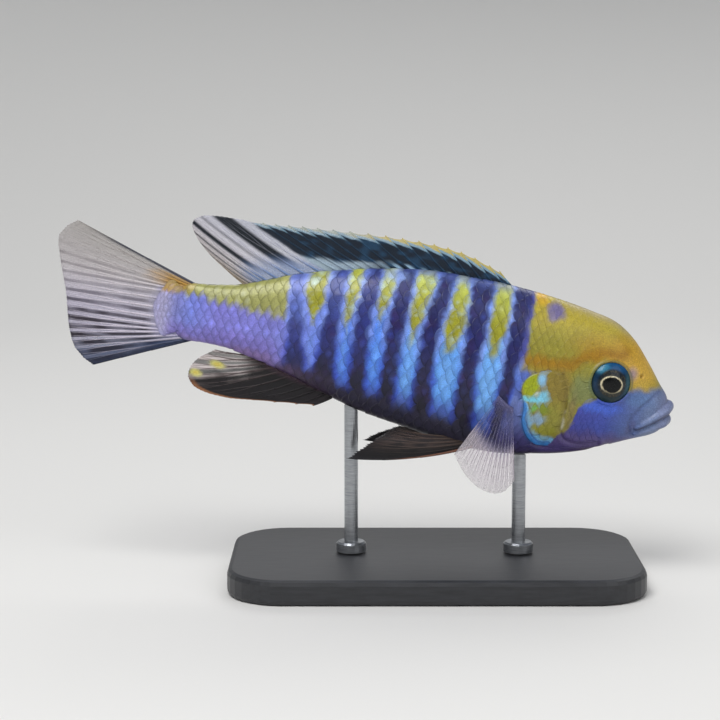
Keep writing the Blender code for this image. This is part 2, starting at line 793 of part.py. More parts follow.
def stand_base():
    """A flat plate with round corners and bevelled edges."""
    outline = []
    steps = 8
    for corner in range(4):
        sx = (1, -1, -1, 1)[corner]
        sy = (1, 1, -1, -1)[corner]
        cx = sx * (BASE_LENGTH / 2 - BASE_CORNER)
        cy = sy * (BASE_WIDTH / 2 - BASE_CORNER)
        for k in range(steps + 1):
            a = math.pi / 2 * (corner + k / steps)
            outline.append((cx + BASE_CORNER * math.cos(a), cy + BASE_CORNER * math.sin(a)))
    shape = bmesh.new()
    face = shape.faces.new([shape.verts.new((x * MM, y * MM, 0.0)) for x, y in outline])
    raised = bmesh.ops.extrude_face_region(shape, geom=[face])["geom"]
    upper = [g for g in raised if isinstance(g, bmesh.types.BMVert)]
    bmesh.ops.translate(shape, verts=upper, vec=(0.0, 0.0, BASE_HEIGHT * MM))
    bmesh.ops.recalc_face_normals(shape, faces=shape.faces)
    mesh = bpy.data.meshes.new("stand_base")
    shape.to_mesh(mesh)
    shape.free()
    made = bpy.data.objects.new("stand_base", mesh)
    bpy.context.scene.collection.objects.link(made)
    bevel = made.modifiers.new("edges", "BEVEL")
    bevel.width = BASE_BEVEL * MM
    bevel.segments = 2
    bevel.limit_method = "ANGLE"
    return made


def main():
    for old in list(bpy.data.objects):
        bpy.data.objects.remove(old)

    yellow = finish("head_yellow", (0.55, 0.42, 0.06), 0.35)
    blue = finish("cheek_blue", (0.10, 0.12, 0.45), 0.35)
    barred = finish("barred_flank", (0.16, 0.25, 0.62), 0.35)
    lilac = finish("tail_lilac", (0.30, 0.28, 0.62), 0.35)
    black = finish("fin_black", (0.015, 0.015, 0.03), 0.45)
    pale = finish("fin_pale", (0.55, 0.52, 0.56), 0.40)
    dark_eye = finish("eye_dark", (0.01, 0.02, 0.04), 0.08)
    board = finish("stand_dark", (0.03, 0.03, 0.035), 0.55)
    steel = finish("stand_steel", (0.6, 0.6, 0.62), 0.28, 1.0)

    pose = bpy.data.objects.new("pose", None)
    bpy.context.scene.collection.objects.link(pose)
    pose.location = (SNOUT_FORWARD * MM, 0.0, SNOUT_UP * MM)
    pose.rotation_euler = (0.0, POSE, 0.0)

    parts = body_nodes()
    parts["gill_cover_right"] = gill_cover("gill_cover_right", -1)
    parts["gill_cover_left"] = gill_cover("gill_cover_left", 1)
    parts["eye_right"] = eye("eye_right", -1)
    parts["eye_left"] = eye("eye_left", 1)
    parts.update(fins())
    worn = {
        "head": yellow, "lower_jaw": blue, "gill_cover_right": yellow, "gill_cover_left": yellow,
        "trunk": barred, "tail_stalk": lilac, "eye_right": dark_eye, "eye_left": dark_eye,
        "dorsal_fin": black, "anal_fin": black, "pelvic_fin_right": black,
        "pelvic_fin_left": black, "tail_fin": pale, "pectoral_fin_right": pale,
        "pectoral_fin_left": pale,
    }
    for name, part in parts.items():
        dress(part, worn[name])
        part.parent = pose

    dress(stand_base(), board, 25.0)
    dress(stand_rod("stand_rod_front", FRONT_ROD_U), steel, 35.0)
    dress(stand_rod("stand_rod_rear", REAR_ROD_U), steel, 35.0)


main()
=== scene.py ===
# %% [markdown]
# # A small banded fish, painted and scaled over its CAD model
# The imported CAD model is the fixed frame. It could be painted as it is, but its parting lines
# between head, trunk and tail would show. So this lesson lays one seamless skin over the flesh,
# sets scales on it, gives it eyes and rayed fins, and leaves only the stand as the CAD has it.

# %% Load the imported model
import math
import bpy
import numpy as np
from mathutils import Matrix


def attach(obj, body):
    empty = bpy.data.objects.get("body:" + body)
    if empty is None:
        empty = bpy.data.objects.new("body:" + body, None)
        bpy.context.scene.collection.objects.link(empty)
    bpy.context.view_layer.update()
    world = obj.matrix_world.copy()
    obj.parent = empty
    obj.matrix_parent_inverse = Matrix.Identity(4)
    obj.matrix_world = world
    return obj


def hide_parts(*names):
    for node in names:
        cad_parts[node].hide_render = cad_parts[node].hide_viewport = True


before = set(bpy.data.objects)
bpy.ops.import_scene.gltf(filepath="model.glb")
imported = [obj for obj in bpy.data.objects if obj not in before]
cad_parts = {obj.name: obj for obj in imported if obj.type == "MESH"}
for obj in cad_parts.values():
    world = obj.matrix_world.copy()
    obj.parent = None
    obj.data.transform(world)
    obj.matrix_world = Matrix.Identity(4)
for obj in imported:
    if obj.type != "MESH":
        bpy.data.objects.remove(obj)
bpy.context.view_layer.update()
print("CAD nodes:", sorted(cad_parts))

# %% [markdown]
# ## The fish's own frame
# A swimming fish hangs nose down and bends its tail, which makes poor axes to measure in. It could
# be modelled in the world's axes, but every size would then hide a sine. Here all of it is worked
# out straight: u runs back from the snout, y to the fish's left and h up, in millimetres. One
# function bends and tips the result into the pose that the CAD has.

# %% From the fish's frame to the world
MM = 0.001
NOSE_DOWN = math.radians(11.2)
SNOUT_FORWARD = 38.0
SNOUT_UP = 27.6
TAIL_SWAY = 4.0
SWAY_START = 35.0
SWAY_LENGTH = 65.0


def to_world(points):
    """Millimetres in the fish's frame as metres in the world."""
    u, y, h = np.moveaxis(np.asarray(points, float), -1, 0)
    bend = TAIL_SWAY * (np.maximum(u - SWAY_START, 0.0) / SWAY_LENGTH) ** 2
    x = SNOUT_FORWARD - u * math.cos(NOSE_DOWN) + h * math.sin(NOSE_DOWN)
    z = SNOUT_UP + u * math.sin(NOSE_DOWN) + h * math.cos(NOSE_DOWN)
    return np.stack([x, y + bend, z], -1) * MM


print("snout tip in the world, m:", to_world((0.0, 0.0, 0.0)).round(4))

# %% [markdown]
# ## The body as a loft
# A fish's body is a row of ovals that grow and shrink along it. It could be sculpted, or be a
# subdivided cage, but a loft through measured ovals keeps the outline exact. Each station holds the
# back's and the belly's place, the half width, the level of the widest point and how square the
# upper and lower halves are.

# %% Stations of the body
STATIONS = np.array([
    # back u, h; belly u, h; half width; widest level; squareness above and below
    (0.75, 0.4, 0.80, -2.0, 1.30, 0.50, 2.0, 2.0),  # behind the lips
    (1.40, 2.1, 1.25, -3.6, 2.25, 0.50, 2.0, 2.0),  # tip of the snout
    (2.90, 3.8, 2.70, -4.8, 3.20, 0.48, 2.0, 2.0),  # upper jaw
    (5.10, 6.5, 5.60, -6.1, 3.95, 0.48, 2.0, 2.0),  # nostrils
    (8.30, 9.9, 9.00, -7.7, 4.80, 0.50, 2.1, 2.0),  # front of the eye
    (11.8, 12.1, 12.8, -9.4, 5.40, 0.52, 2.2, 2.1),  # eye
    (16.3, 13.1, 17.0, -10.7, 6.00, 0.50, 2.1, 2.1),  # cheek
    (21.3, 13.8, 21.6, -11.6, 6.45, 0.48, 2.0, 2.1),  # gill cover
    (27.0, 14.3, 27.0, -12.35, 6.70, 0.48, 1.9, 2.0),  # nape
    (34.5, 14.6, 34.0, -12.2, 6.60, 0.49, 1.8, 2.0),  # shoulder
    (42.0, 14.4, 41.5, -11.1, 6.10, 0.50, 1.8, 1.9),  # flank
    (50.0, 13.2, 49.5, -9.9, 5.20, 0.50, 1.8, 1.8),  # vent
    (57.0, 11.5, 56.5, -8.0, 4.20, 0.50, 1.8, 1.8),  # behind the vent
    (64.0, 9.3, 63.5, -6.0, 3.20, 0.50, 1.9, 1.9),  # front of the tail stalk
    (71.0, 6.4, 71.0, -4.45, 2.40, 0.50, 2.0, 2.0),  # tail stalk
    (76.0, 5.2, 75.5, -4.2, 1.95, 0.50, 2.0, 2.0),  # rear of the tail stalk
    (80.0, 4.6, 79.6, -4.4, 1.10, 0.50, 2.0, 2.0),  # root of the tail fin
    (81.2, 3.1, 80.9, -3.0, 0.75, 0.50, 2.0, 2.0),  # rounded end of the tail bones
])
LAST = len(STATIONS) - 1
MOUTH_FRONT = (0.65, 0.0, -0.6)
STALK_END = (81.9, 0.0, 0.0)
print("stations:", len(STATIONS), "widest half, mm:", STATIONS[:, 4].max())

# %% [markdown]
# ## A smooth line through measured places
# Straight runs between stations would show as facets. A Bezier curve could smooth them, but its
# handles pull the line away from what was measured. This curve passes through every place that it
# is given, as the solids do, and serves for outlines and fin edges as well.

# %% Smooth curves
def curve(points, t):
    """The places at t, counted in control points, on a smooth curve through all of them."""
    points = np.asarray(points, float)
    last = len(points) - 1
    t = np.asarray(t, float)
    i = np.clip(t.astype(int), 0, last - 1)
    f = (t - i)[..., None]
    before, a = points[np.maximum(i - 1, 0)], points[i]
    b, after = points[i + 1], points[np.minimum(i + 2, last)]
    bend = 2 * before - 5 * a + 4 * b - after
    return 0.5 * (2 * a + (b - before) * f + bend * f**2 + (3 * a - before - 3 * b + after) * f**3)


print("back between cheek and gill cover:", curve(STATIONS, [6.5])[0, :2].round(2))

# %% [markdown]
# ## One oval at each station
# Seen from the front a fish is neither an ellipse nor a box, and its back is sharper than its
# belly. A plain ellipse would look swollen. A power on the sine and the cosine squares or sharpens
# the upper and the lower half, each on its own.

# %% The body's surface
def body(s, turn):
    """The body's surface at station s, turned that far round from the back towards the left."""
    row = curve(STATIONS, s)
    back, belly = row[..., 0:2], row[..., 2:4]
    half, level, above, below = np.moveaxis(row[..., 4:8], -1, 0)
    middle = belly + level[..., None] * (back - belly)
    up, out = np.cos(turn), np.sin(turn)
    power = 2 / np.where(up >= 0, above, below)
    reach = np.where((up >= 0)[..., None], back - middle, middle - belly)
    place = middle + reach * (np.sign(up) * np.abs(up) ** power)[..., None]
    y = half * np.sign(out) * np.abs(out) ** power
    return np.stack([place[..., 0], y, place[..., 1]], -1)


print("top of the shoulder:", body(np.array([9.0]), np.array([0.0])).round(2))

# %% [markdown]
# ## A map of each side
# Scales lie in rows, so they need a map of the flank: how far back, and how far up or down from the
# middle of the side as a tape measure would lie. It could be had by unwrapping the mesh. As the
# body is a formula, a table of distances round each oval does it.

# %% Distances over the body
MAP_S = np.linspace(0, LAST, 500)
MAP_ROWS = np.arange(len(MAP_S))
MAP_TURN = np.linspace(0, math.pi, 181)
WIDEST = 90
TABLE = body(*np.meshgrid(MAP_S, MAP_TURN, indexing="ij"))
STEPS = np.linalg.norm(np.diff(TABLE, axis=1), axis=2)
GIRTH = np.concatenate([np.zeros((len(MAP_S), 1)), np.cumsum(STEPS, axis=1)], axis=1)
GIRTH = GIRTH[:, WIDEST:WIDEST + 1] - GIRTH
MIDDLE_U = TABLE[:, WIDEST, 0]
print("largest half girth, mm:", round(float((GIRTH[:, 0] - GIRTH[:, -1]).max()), 1))

# %% [markdown]
# ## Reading the map backwards
# A scale is placed by tape measure, but the body's formula wants a station and a turn. Solving for
# them point by point would be slow. The table is turned round once instead: for equal shares of
# the way down the side it holds the turn, and places between its entries are blended.

# %% From a place on the map to the body
TURN_STEPS = 240
SHARES = np.linspace(0, 1, TURN_STEPS)
TURN_AT = np.array([
    np.interp(SHARES, (line[0] - line) / (line[0] - line[-1]), MAP_TURN) for line in GIRTH
])


def on_flank(u, g, side):
    """Station and turn of the place u back and g up from the middle of the side."""
    place = np.interp(u, MIDDLE_U, MAP_ROWS)
    low = np.clip(place.astype(int), 0, len(MAP_S) - 2)
    f = place - low
    top = GIRTH[low, 0] * (1 - f) + GIRTH[low + 1, 0] * f
    foot = GIRTH[low, -1] * (1 - f) + GIRTH[low + 1, -1] * f
    share = np.clip((top - g) / (top - foot), 0, 1) * (TURN_STEPS - 1)
    k = np.clip(share.astype(int), 0, TURN_STEPS - 2)
    w = share - k
    near = TURN_AT[low, k] * (1 - w) + TURN_AT[low, k + 1] * w
    far = TURN_AT[low + 1, k] * (1 - w) + TURN_AT[low + 1, k + 1] * w
    return np.interp(place, MAP_ROWS, MAP_S), (near * (1 - f) + far * f) * side


def girth_limits(u):
    """How far up and down the side reaches from its middle at u."""
    s = np.interp(u, MIDDLE_U, MAP_ROWS)
    return np.interp(s, MAP_ROWS, GIRTH[:, 0]), np.interp(s, MAP_ROWS, GIRTH[:, -1])


print("side at u 40 reaches up and down, mm:", [round(float(v), 1) for v in girth_limits(40.0)])

# %% [markdown]
# ## Brushes
# The fish is painted as a taxidermist's painter would: a ground colour, then soft spots, bands and
# clouds over it. An image could carry this, but formulas of place stay sharp at any size and paint
# skin and scales alike. Each brush gives a mask from 0 to 1, and strokes are laid in their order.

# %% Brushes
def tint(code):
    """A colour code as linear red, green and blue."""
    c = np.array([int(code[i:i + 2], 16) for i in (1, 3, 5)]) / 255
    return np.where(c <= 0.04045, c / 12.92, ((c + 0.055) / 1.055) ** 2.4)


def rise(x, low, high):
    """From 0 at low to 1 at high, eased."""
    t = np.clip((x - low) / (high - low), 0, 1)
    return t * t * (3 - 2 * t)


def fall(x, low, high):
    """From 1 at low to 0 at high, eased."""
    return 1 - rise(x, low, high)


def bell(x, middle, width):
    """1 in the middle, fading to both sides."""
    return np.exp(-((x - middle) / width) ** 2)


def spot(u, h, at, size, soft=0.35):
    """1 inside an oval with soft edges."""
    away = np.hypot((u - at[0]) / size[0], (h - at[1]) / size[1])
    return fall(away, 1 - soft, 1 + soft)


def follow(x, pairs):
    """The value at x on a bent line of (place, value) pairs."""
    return np.interp(x, [a for a, _ in pairs], [b for _, b in pairs])


print("gold in linear light:", tint("#C49E3E").round(3))

# %% [markdown]
# ## Laying colour on
# A colour layer could be mixed by a chain of nodes, but a hundred marks would make a thicket of
# them. Mixed here, the marks of one part can stand in a list, as on a painter's slip, and the
# finished colour is stored in the mesh for the material to read.

# %% Strokes, dabs and grounds
def blend(base, other, share):
    """One colour turned into another by a share."""
    return base + (other - base) * np.asarray(share)[..., None]


def over(base, code, mask):
    """A colour code laid over a colour."""
    return blend(base, tint(code), mask)


def strokes(colour, *marks):
    """Marks laid over a colour in turn, each (colour, mask)."""
    for code, mask in marks:
        colour = over(colour, code, mask)
    return colour


def dabs(colour, u, h, ovals, within=1.0):
    """Ovals laid over a colour in turn, each (colour, strength, place, half size, softness)."""
    for code, strength, at, size, soft in ovals:
        colour = over(colour, code, strength * within * spot(u, h, at, size, soft))
    return colour


def plain(x, code):
    """One colour at every place."""
    return np.broadcast_to(tint(code), np.shape(x) + (3,))


def ramp(x, stops):
    """A colour that runs through the stops, each (place, colour)."""
    places = [place for place, _ in stops]
    colours = np.array([tint(code) for _, code in stops])
    return np.stack([np.interp(x, places, colours[:, k]) for k in range(3)], -1)


print("half black on white:", strokes(plain(0.0, "#FFFFFF"), ("#000000", 0.5)))

# %% [markdown]
# ## Soft clouds
# No edge on a living fish is ruled. Blender's noise texture could blur them, but only in the
# material. The same kind of noise is worked out here from a random lattice, so that it can bend the
# edge of any mark. Each cloud has its own seed and always looks the same.

# %% Clouds
GRID = 32


def cloud(points, size, seed):
    """Soft random blotches of that size in millimetres, from -1 to 1."""
    lattice = np.random.default_rng(seed).uniform(-1, 1, (GRID, GRID, GRID))
    p = np.asarray(points, float) / size
    i = np.floor(p).astype(int)
    f = p - i
    f = f * f * (3 - 2 * f)
    total = 0.0
    for corner in np.ndindex(2, 2, 2):
        weight = np.prod(np.where(corner, f, 1 - f), -1)
        place = (i + corner) % GRID
        total = total + weight * lattice[place[..., 0], place[..., 1], place[..., 2]]
    return total


def stirred(place, points, *waves):
    """A coordinate shifted by clouds, each (amount, size, seed)."""
    for amount, size, seed in waves:
        place = place + amount * cloud(points, size, seed)
    return place


print("cloud at one place:", cloud(np.array([[3.0, 2.0, 1.0]]), 1.5, 11).round(3))

# %% [markdown]
# ## Lines on the side view
# Folds, rims and the mouth are lines on the fish's side. They could be cut as edges into the mesh,
# which ties it to them. A distance to the line does more: it paints the line, digs it as a groove
# and raises what lies inside it.

# %% Distances to lines
def line_distance(u, h, line):
    """How far places of the side view are from a bent line."""
    nearest = np.full(np.shape(u), 1e9)
    for a, b in zip(line[:-1], line[1:]):
        way = np.subtract(b, a)
        along = np.clip(((u - a[0]) * way[0] + (h - a[1]) * way[1]) / way.dot(way), 0, 1)
        away = np.hypot(u - a[0] - along * way[0], h - a[1] - along * way[1])
        nearest = np.minimum(nearest, away)
    return nearest


def inside(u, h, outline):
    """True where places of the side view are inside a closed outline."""
    within = np.zeros(np.shape(u), bool)
    for (au, ah), (bu, bh) in zip(outline, np.roll(outline, -1, axis=0)):
        if ah == bh:
            continue
        crosses = (ah > h) != (bh > h)
        within ^= crosses & (u < (bu - au) * (h - ah) / (bh - ah) + au)
    return within


print("from a place to a line, mm:", line_distance(1.0, 1.0, [(0.0, 0.0), (2.0, 0.0)]))

# %% [markdown]
# ## Lines of the head
# The gill cover is a thin plate of bone under the skin, with a free rear edge, and folds run round
# cheek, jaw and throat. They are needed twice, for relief and for colour. Smooth curves through the
# places measured on them serve both, where separate plates would show a seam in front.

# %% Lines of the head
GILL_COVER = [
    (19.6, 3.3), (21.6, 3.1), (23.7, 2.2), (24.9, 0.9), (25.2, -0.7), (24.7, -2.1), (24.3, -3.6),
    (24.2, -5.3), (23.6, -7.0), (22.4, -8.5), (20.7, -9.4), (18.8, -9.1), (17.7, -6.4),
    (17.3, -3.0), (17.7, 0.3), (18.5, 2.5),
]
LOOPED = [GILL_COVER[-1], *GILL_COVER, GILL_COVER[0], GILL_COVER[1]]
GILL_LINE = curve(LOOPED, 1 + np.arange(0, len(GILL_COVER), 0.25))
GILL_REAR = GILL_LINE[4:44]


def drawn(*places):
    """A smooth line through places of the side view, in quarter steps."""
    return curve(places, np.linspace(0, len(places) - 1, 4 * len(places) - 3))


CHEEK_EDGE = drawn((19.3, 3.2), (17.9, 0.2), (17.4, -2.9), (17.5, -5.9), (16.6, -7.6),
                   (14.0, -8.1), (11.0, -7.4))
THROAT_SLIT = drawn((20.4, -9.8), (17.6, -9.6), (14.5, -9.2), (11.5, -8.6), (9.0, -7.7))
JAW_FOLD = drawn((3.0, 2.7), (4.6, 0.9), (6.2, -1.2), (6.9, -3.0), (6.4, -4.6))
MOUTH_CORNER = (5.4, -4.2)
MOUTH_LINE = [(0.4, -0.1), (2.4, -1.6), (4.0, -2.9), (5.7, -3.9)]
EYE_PLACE = (11.3, 2.9)
NOSTRIL = (6.4, 4.6)
print("gill cover from u", GILL_LINE[:, 0].min().round(1), "to", GILL_LINE[:, 0].max().round(1))

# %% [markdown]
# ## The upper head
# The head is olive yellow above, with an orange-brown band from the snout over the eye and a
# violet blotch on the nape. A photo laid on as a texture would bring its shadows with it. Each mark
# is a stroke instead, the ground first and small bright marks last. uj and hj are u and h stirred
# by clouds.

# %% Paint the upper head
BROW_BAND = [(24.8, 4.1), (21.5, 3.8), (18.5, 4.6), (15.0, 6.4), (12.5, 7.5), (10.0, 7.7)]
ORBIT_RADIUS = 3.35


def crown_paint(u, y, h, uj, hj):
    """Olive and gold, the band over the eye, its dark ring and the nape's blotch."""
    ridge = fall(np.abs(y), 0.8, 3.4) * rise(h, 8.0, 11.0) * rise(u, 7.0, 11.0)
    orbit = np.abs(np.hypot(u - EYE_PLACE[0], h - EYE_PLACE[1]) - ORBIT_RADIUS)
    return strokes(
        plain(u, "#8F8730"),
        ("#AA9A36", rise(hj, 7.5, 11.5)),
        ("#C49E3E", spot(uj, hj, (7.5, 6.5), (4.2, 4.0), 0.6)),
        ("#A3956A", 0.85 * ridge * fall(u, 19, 22)),
        ("#AC841C", 0.6 * spot(uj, hj, (12.0, 7.8), (6.0, 2.2), 0.6)),
        ("#966C0C", 0.9 * fall(line_distance(uj, hj, BROW_BAND), 0.1, 1.6)),
        ("#76804E", 0.85 * spot(uj, hj, (15.6, 0.9), (2.3, 2.3), 0.5)),
        ("#846C2C", 0.7 * spot(uj, hj, (19.3, 1.2), (1.6, 2.4), 0.5)),
        ("#CDA22A", rise(u, 22.6, 24.2) * rise(h, 12.0, 13.2)),
        ("#766F9E", 0.60 * spot(u, h, (8.1, 4.8), (0.8, 0.9), 0.8)),
        ("#3E5646", 0.55 * fall(orbit, 0.05, 0.45)),
        ("#6C6494", 0.95 * spot(uj, hj, (21.8, 12.0), (1.35, 1.35), 0.4)),
    )


print("crown over the eye:", crown_paint(11.0, 4.0, 9.0, 11.0, 9.0).round(3))

# %% [markdown]
# ## The lower head
# Below a line from the upper lip under the eye the head is deep blue and turns violet towards the
# throat. It could be one more spot, but the line has corners. So the blue is painted whole and the
# measured line says where it shows. The dark keel runs on under the breast.

# %% Paint the lower head
BLUE_LINE = [
    (0.0, 4.3), (2.7, 3.4), (5.0, 2.7), (8.0, 2.2), (11.0, 0.9), (13.0, -0.3), (14.5, -1.2),
    (15.7, -2.2), (16.1, -4.5), (17.0, -6.4), (18.4, -7.3), (20.0, -8.0), (24.5, -9.0),
]
BLUE_RUN = [(0.0, "#6A7694"), (4.0, "#64759C"), (8.0, "#4E62A2"), (11.0, "#3F4FA8"),
            (16.0, "#3D439C"), (24.0, "#454688")]


def keel(y, h):
    """Where the dark middle line of throat and breast runs."""
    return 0.9 * fall(np.abs(y), 0.6, 3.4) * rise(-h, 5.5, 8.5)


def throat_paint(y, h, uj, hj):
    """Blue cheek and violet throat."""
    return strokes(
        ramp(uj, BLUE_RUN),
        ("#4668D4", 0.85 * spot(uj, hj, (12.0, -1.4), (3.0, 0.9), 0.6)),
        ("#5878A6", 0.6 * spot(uj, hj, (6.2, 0.9), (2.2, 1.3), 0.6)),
        ("#554880", 0.9 * rise(-hj, 4.6, 6.8)),
        ("#685A84", 0.5 * rise(-hj, 6.0, 7.5) * spot(uj, hj, (12.0, -7.6), (6.0, 1.5), 0.6)),
        ("#38233C", keel(y, h)),
    )


print("cheek:", throat_paint(5.0, -2.0, 12.0, -2.0).round(3))

# %% [markdown]
# ## Mouth and breast
# Pale lips meet in a dark slit, a fold runs down from the nostrils to the jaw, and bluish skin
# shows behind the gill cover. The slit and the fold are dug into the mesh too, but a groove this
# fine needs its own painted shade to be seen from afar, and a painted highlight runs along the
# lips.

# %% Paint mouth and breast
BREAST_RUN = [(-11.5, "#3C2F58"), (-9.0, "#4F4A82"), (-6.0, "#5C68A6"), (-2.5, "#6474B0"),
              (0.0, "#4A62B4"), (3.0, "#5A70C0")]


def mouth_paint(colour, u, h, uj, hj):
    """Lips with a painted highlight, the slit and the jaw's fold in painted shade, laid over the
    head's colours.
    """
    lips = fall(u + 0.2 * np.abs(h - MOUTH_FRONT[2]), 2.0, 3.6)
    slit = line_distance(u, h, MOUTH_LINE)
    return strokes(
        colour,
        ("#6A7194", 0.8 * lips * fall(h, 3.2, 4.2)),
        ("#4E4470", 0.4 * spot(uj, hj, (6.5, -3.9), (0.5, 1.2), 0.6)),
        # a painted highlight along both lips, a little off the slit
        ("#8C99C0", 0.42 * bell(slit, 0.75, 0.28) * (u < 5.0)),
        # painted shade in the slit
        ("#2C3252", 0.75 * fall(slit, 0.05, 0.32)),
        # painted shade in the jaw's fold
        ("#44507E", 0.45 * fall(line_distance(u, h, JAW_FOLD), 0.05, 0.5)),
    )


def breast_paint(colour, u, y, h, hj):
    """The skin behind the gill cover, laid over the head's colours."""
    behind = rise(u, 19.5, 20.5) * fall(hj, 1.9, 2.9) * ~inside(u, h, GILL_LINE)
    return blend(colour, over(ramp(hj, BREAST_RUN), "#2E2038", keel(y, h)), behind)


print("lower lip:", mouth_paint(plain(1.0, "#8F8730"), 1.0, -1.2, 1.0, -1.2).round(3))

# %% [markdown]
# ## The gill cover's blotches
# The gill cover is blotched in green, olive and sky blue, with a blue rim that widens downwards.
# The blotches have no rule, so each is one oval of its own, and clouds break their edges. The rim
# follows the distance to the cover's edge, and painted shadow darkens it along that free edge.

# %% Paint the gill cover
RIM_WIDTH = ((1.5, 0.3), (3.0, 0.9), (5.5, 1.8), (7.0, 2.1), (9.0, 1.8))
GILL_BLOTCHES = [
    # colour, strength, place, half size, softness
    ("#918F2C", 1.0, (20.5, -6.5), (2.0, 0.85), 0.35),
    ("#86A4BC", 1.0, (21.5, -4.9), (1.2, 0.85), 0.35),
    ("#7E8C26", 1.0, (21.2, -3.1), (1.4, 0.75), 0.35),
    ("#6CC46A", 0.8, (22.6, -3.4), (0.35, 0.5), 0.6),
    ("#78CDE2", 1.0, (23.2, -1.8), (1.9, 0.5), 0.35),
    ("#7CC6E2", 1.0, (21.4, -1.1), (0.85, 0.85), 0.35),
    ("#86BCE0", 1.0, (22.3, 1.3), (0.75, 0.95), 0.35),
    ("#98A312", 1.0, (23.75, 0.2), (1.3, 1.75), 0.2),
    ("#DCEFE8", 0.8, (22.6, -0.9), (0.35, 0.25), 0.6),
]


def gill_paint(colour, u, h, points):
    """The gill cover's ground, rim and blotches, and painted shadow along its edge, laid over the
    head's colours.
    """
    edge = line_distance(u, h, GILL_REAR)
    plate = rise(np.where(inside(u, h, GILL_LINE), edge, -edge), -0.1, 0.25)
    u = stirred(u, points, (0.30, 0.8, 31), (0.10, 0.3, 33))
    h = stirred(h, points, (0.30, 0.7, 32), (0.10, 0.3, 34))
    low = plate * rise(-h, 1.8, 3.0)
    wide = follow(-h, RIM_WIDTH)
    colour = strokes(
        colour,
        ("#85742C", plate * spot(u, h, (20.0, -1.5), (2.9, 7.0), 0.5)),
        ("#8F8A34", plate * spot(u, h, (19.6, -5.0), (1.9, 3.4), 0.5)),
        ("#7AB8E2", low * fall(edge, wide - 0.3, wide + 0.1)),
        ("#2E66B4", low * bell(edge, 0.50 * wide, 0.16)),
        ("#3C82CC", low * fall(edge, 0.34 * wide, 0.34 * wide + 0.3)),
        # painted shadow along the cover's free edge, low down
        ("#2A569C", low * fall(edge, 0.10, 0.40)),
    )
    colour = dabs(colour, u, h, GILL_BLOTCHES, plate)
    # painted shadow along the whole free edge
    return over(colour, "#24346E", 0.5 * fall(edge, 0.05, 0.3) * rise(plate, 0.0, 0.2))


print("blotches on the gill cover:", len(GILL_BLOTCHES))

# %% [markdown]
# ## The whole head
# The parts are laid over each other as a painter would: crown, blue, mouth, breast, gill cover,
# and last, in front of the cover, painted shade along the cheek's fold, a brown streak and a thin
# painted highlight beside the fold. Painting them in one function would work too, but parts can be
# tried one by one.

# %% Paint the head
def head_paint(points):
    """The head's colour at places in the fish's frame."""
    u, y, h = np.moveaxis(points, -1, 0)
    uj = stirred(u, points, (0.45, 1.5, 11), (0.12, 0.4, 13))
    hj = stirred(h, points, (0.45, 1.3, 12), (0.12, 0.4, 14))
    soft = 0.35 + 0.40 * fall(u, 6.0, 9.0)
    blue = rise(follow(uj, BLUE_LINE) - hj, -soft, soft)
    colour = blend(crown_paint(u, y, h, uj, hj), throat_paint(y, h, uj, hj), blue)
    colour = mouth_paint(colour, u, h, uj, hj)
    colour = breast_paint(colour, u, y, h, hj)
    colour = gill_paint(colour, u, h, points)
    # painted shade along the groove dug at the cheek's edge
    fold = fall(line_distance(u, h, CHEEK_EDGE), 0.05, 0.35)
    # a thin upright painted highlight along the cheek's edge, broken by a cloud
    pale = bell(u - 0.03 * h, 17.55, 0.22) * rise(-h, 2.2, 3.6) * fall(-h, 5.6, 6.4)
    return strokes(
        colour,
        ("#5C5228", 0.35 * fold * rise(h, -6.5, -5.5)),
        ("#80704A", 0.6 * spot(uj, hj, (16.7, -2.8), (0.55, 2.8), 0.5)),
        ("#C9C6B2", 0.75 * pale * rise(cloud(points, 0.9, 17), -0.7, 0.3)),
    )


print("gill cover's middle:", head_paint(np.array([[21.4, -6.0, -1.1]])).round(3))

# %% [markdown]
# ## Bars of the flank
# Seven dark bars cross the flank. They could be straight stripes, but each real one bends and
# swells, so it is given by its middle and half width at a few heights. The distance to the nearest
# bar then shapes the windows between them too.

# %% Bars
HEIGHTS = (-6.0, 0.0, 6.0, 13.0)
BARS = [
    # middles at those heights, half widths at those heights, strength below and above
    ((27.7, 27.4, 27.5, 27.2), (0.95, 1.05, 1.20, 1.50), 1.0, 1.0),
    ((33.2, 33.9, 33.9, 33.8), (1.50, 1.15, 1.45, 1.70), 1.0, 1.0),
    ((39.9, 40.6, 40.8, 39.6), (1.40, 1.15, 1.40, 1.20), 1.0, 1.0),
    ((45.7, 46.0, 46.3, 45.9), (1.30, 1.15, 1.35, 1.20), 1.0, 1.0),
    ((50.6, 51.1, 51.5, 51.0), (1.30, 1.10, 1.30, 1.00), 1.0, 0.95),
    ((55.8, 56.3, 56.5, 56.3), (1.70, 1.15, 1.10, 1.10), 1.0, 0.85),
    ((60.5, 61.5, 62.5, 62.8), (1.80, 1.15, 0.95, 0.90), 0.85, 0.5),
]
BARS_END = 64.5
FAR_FROM_BARS = 2.5


def bar_distance(u, h):
    """How far outside the nearest bar a place is, and that bar's strength."""
    nearest = np.full(np.shape(u), 1e9)
    strength = np.ones(np.shape(u))
    for middles, halves, low, high in BARS:
        away = np.abs(u - np.interp(h, HEIGHTS, middles)) - np.interp(h, HEIGHTS, halves)
        closer = away < nearest
        nearest = np.where(closer, away, nearest)
        strength = np.where(closer, low + (high - low) * rise(h, 1.0, 7.0), strength)
    return nearest, strength


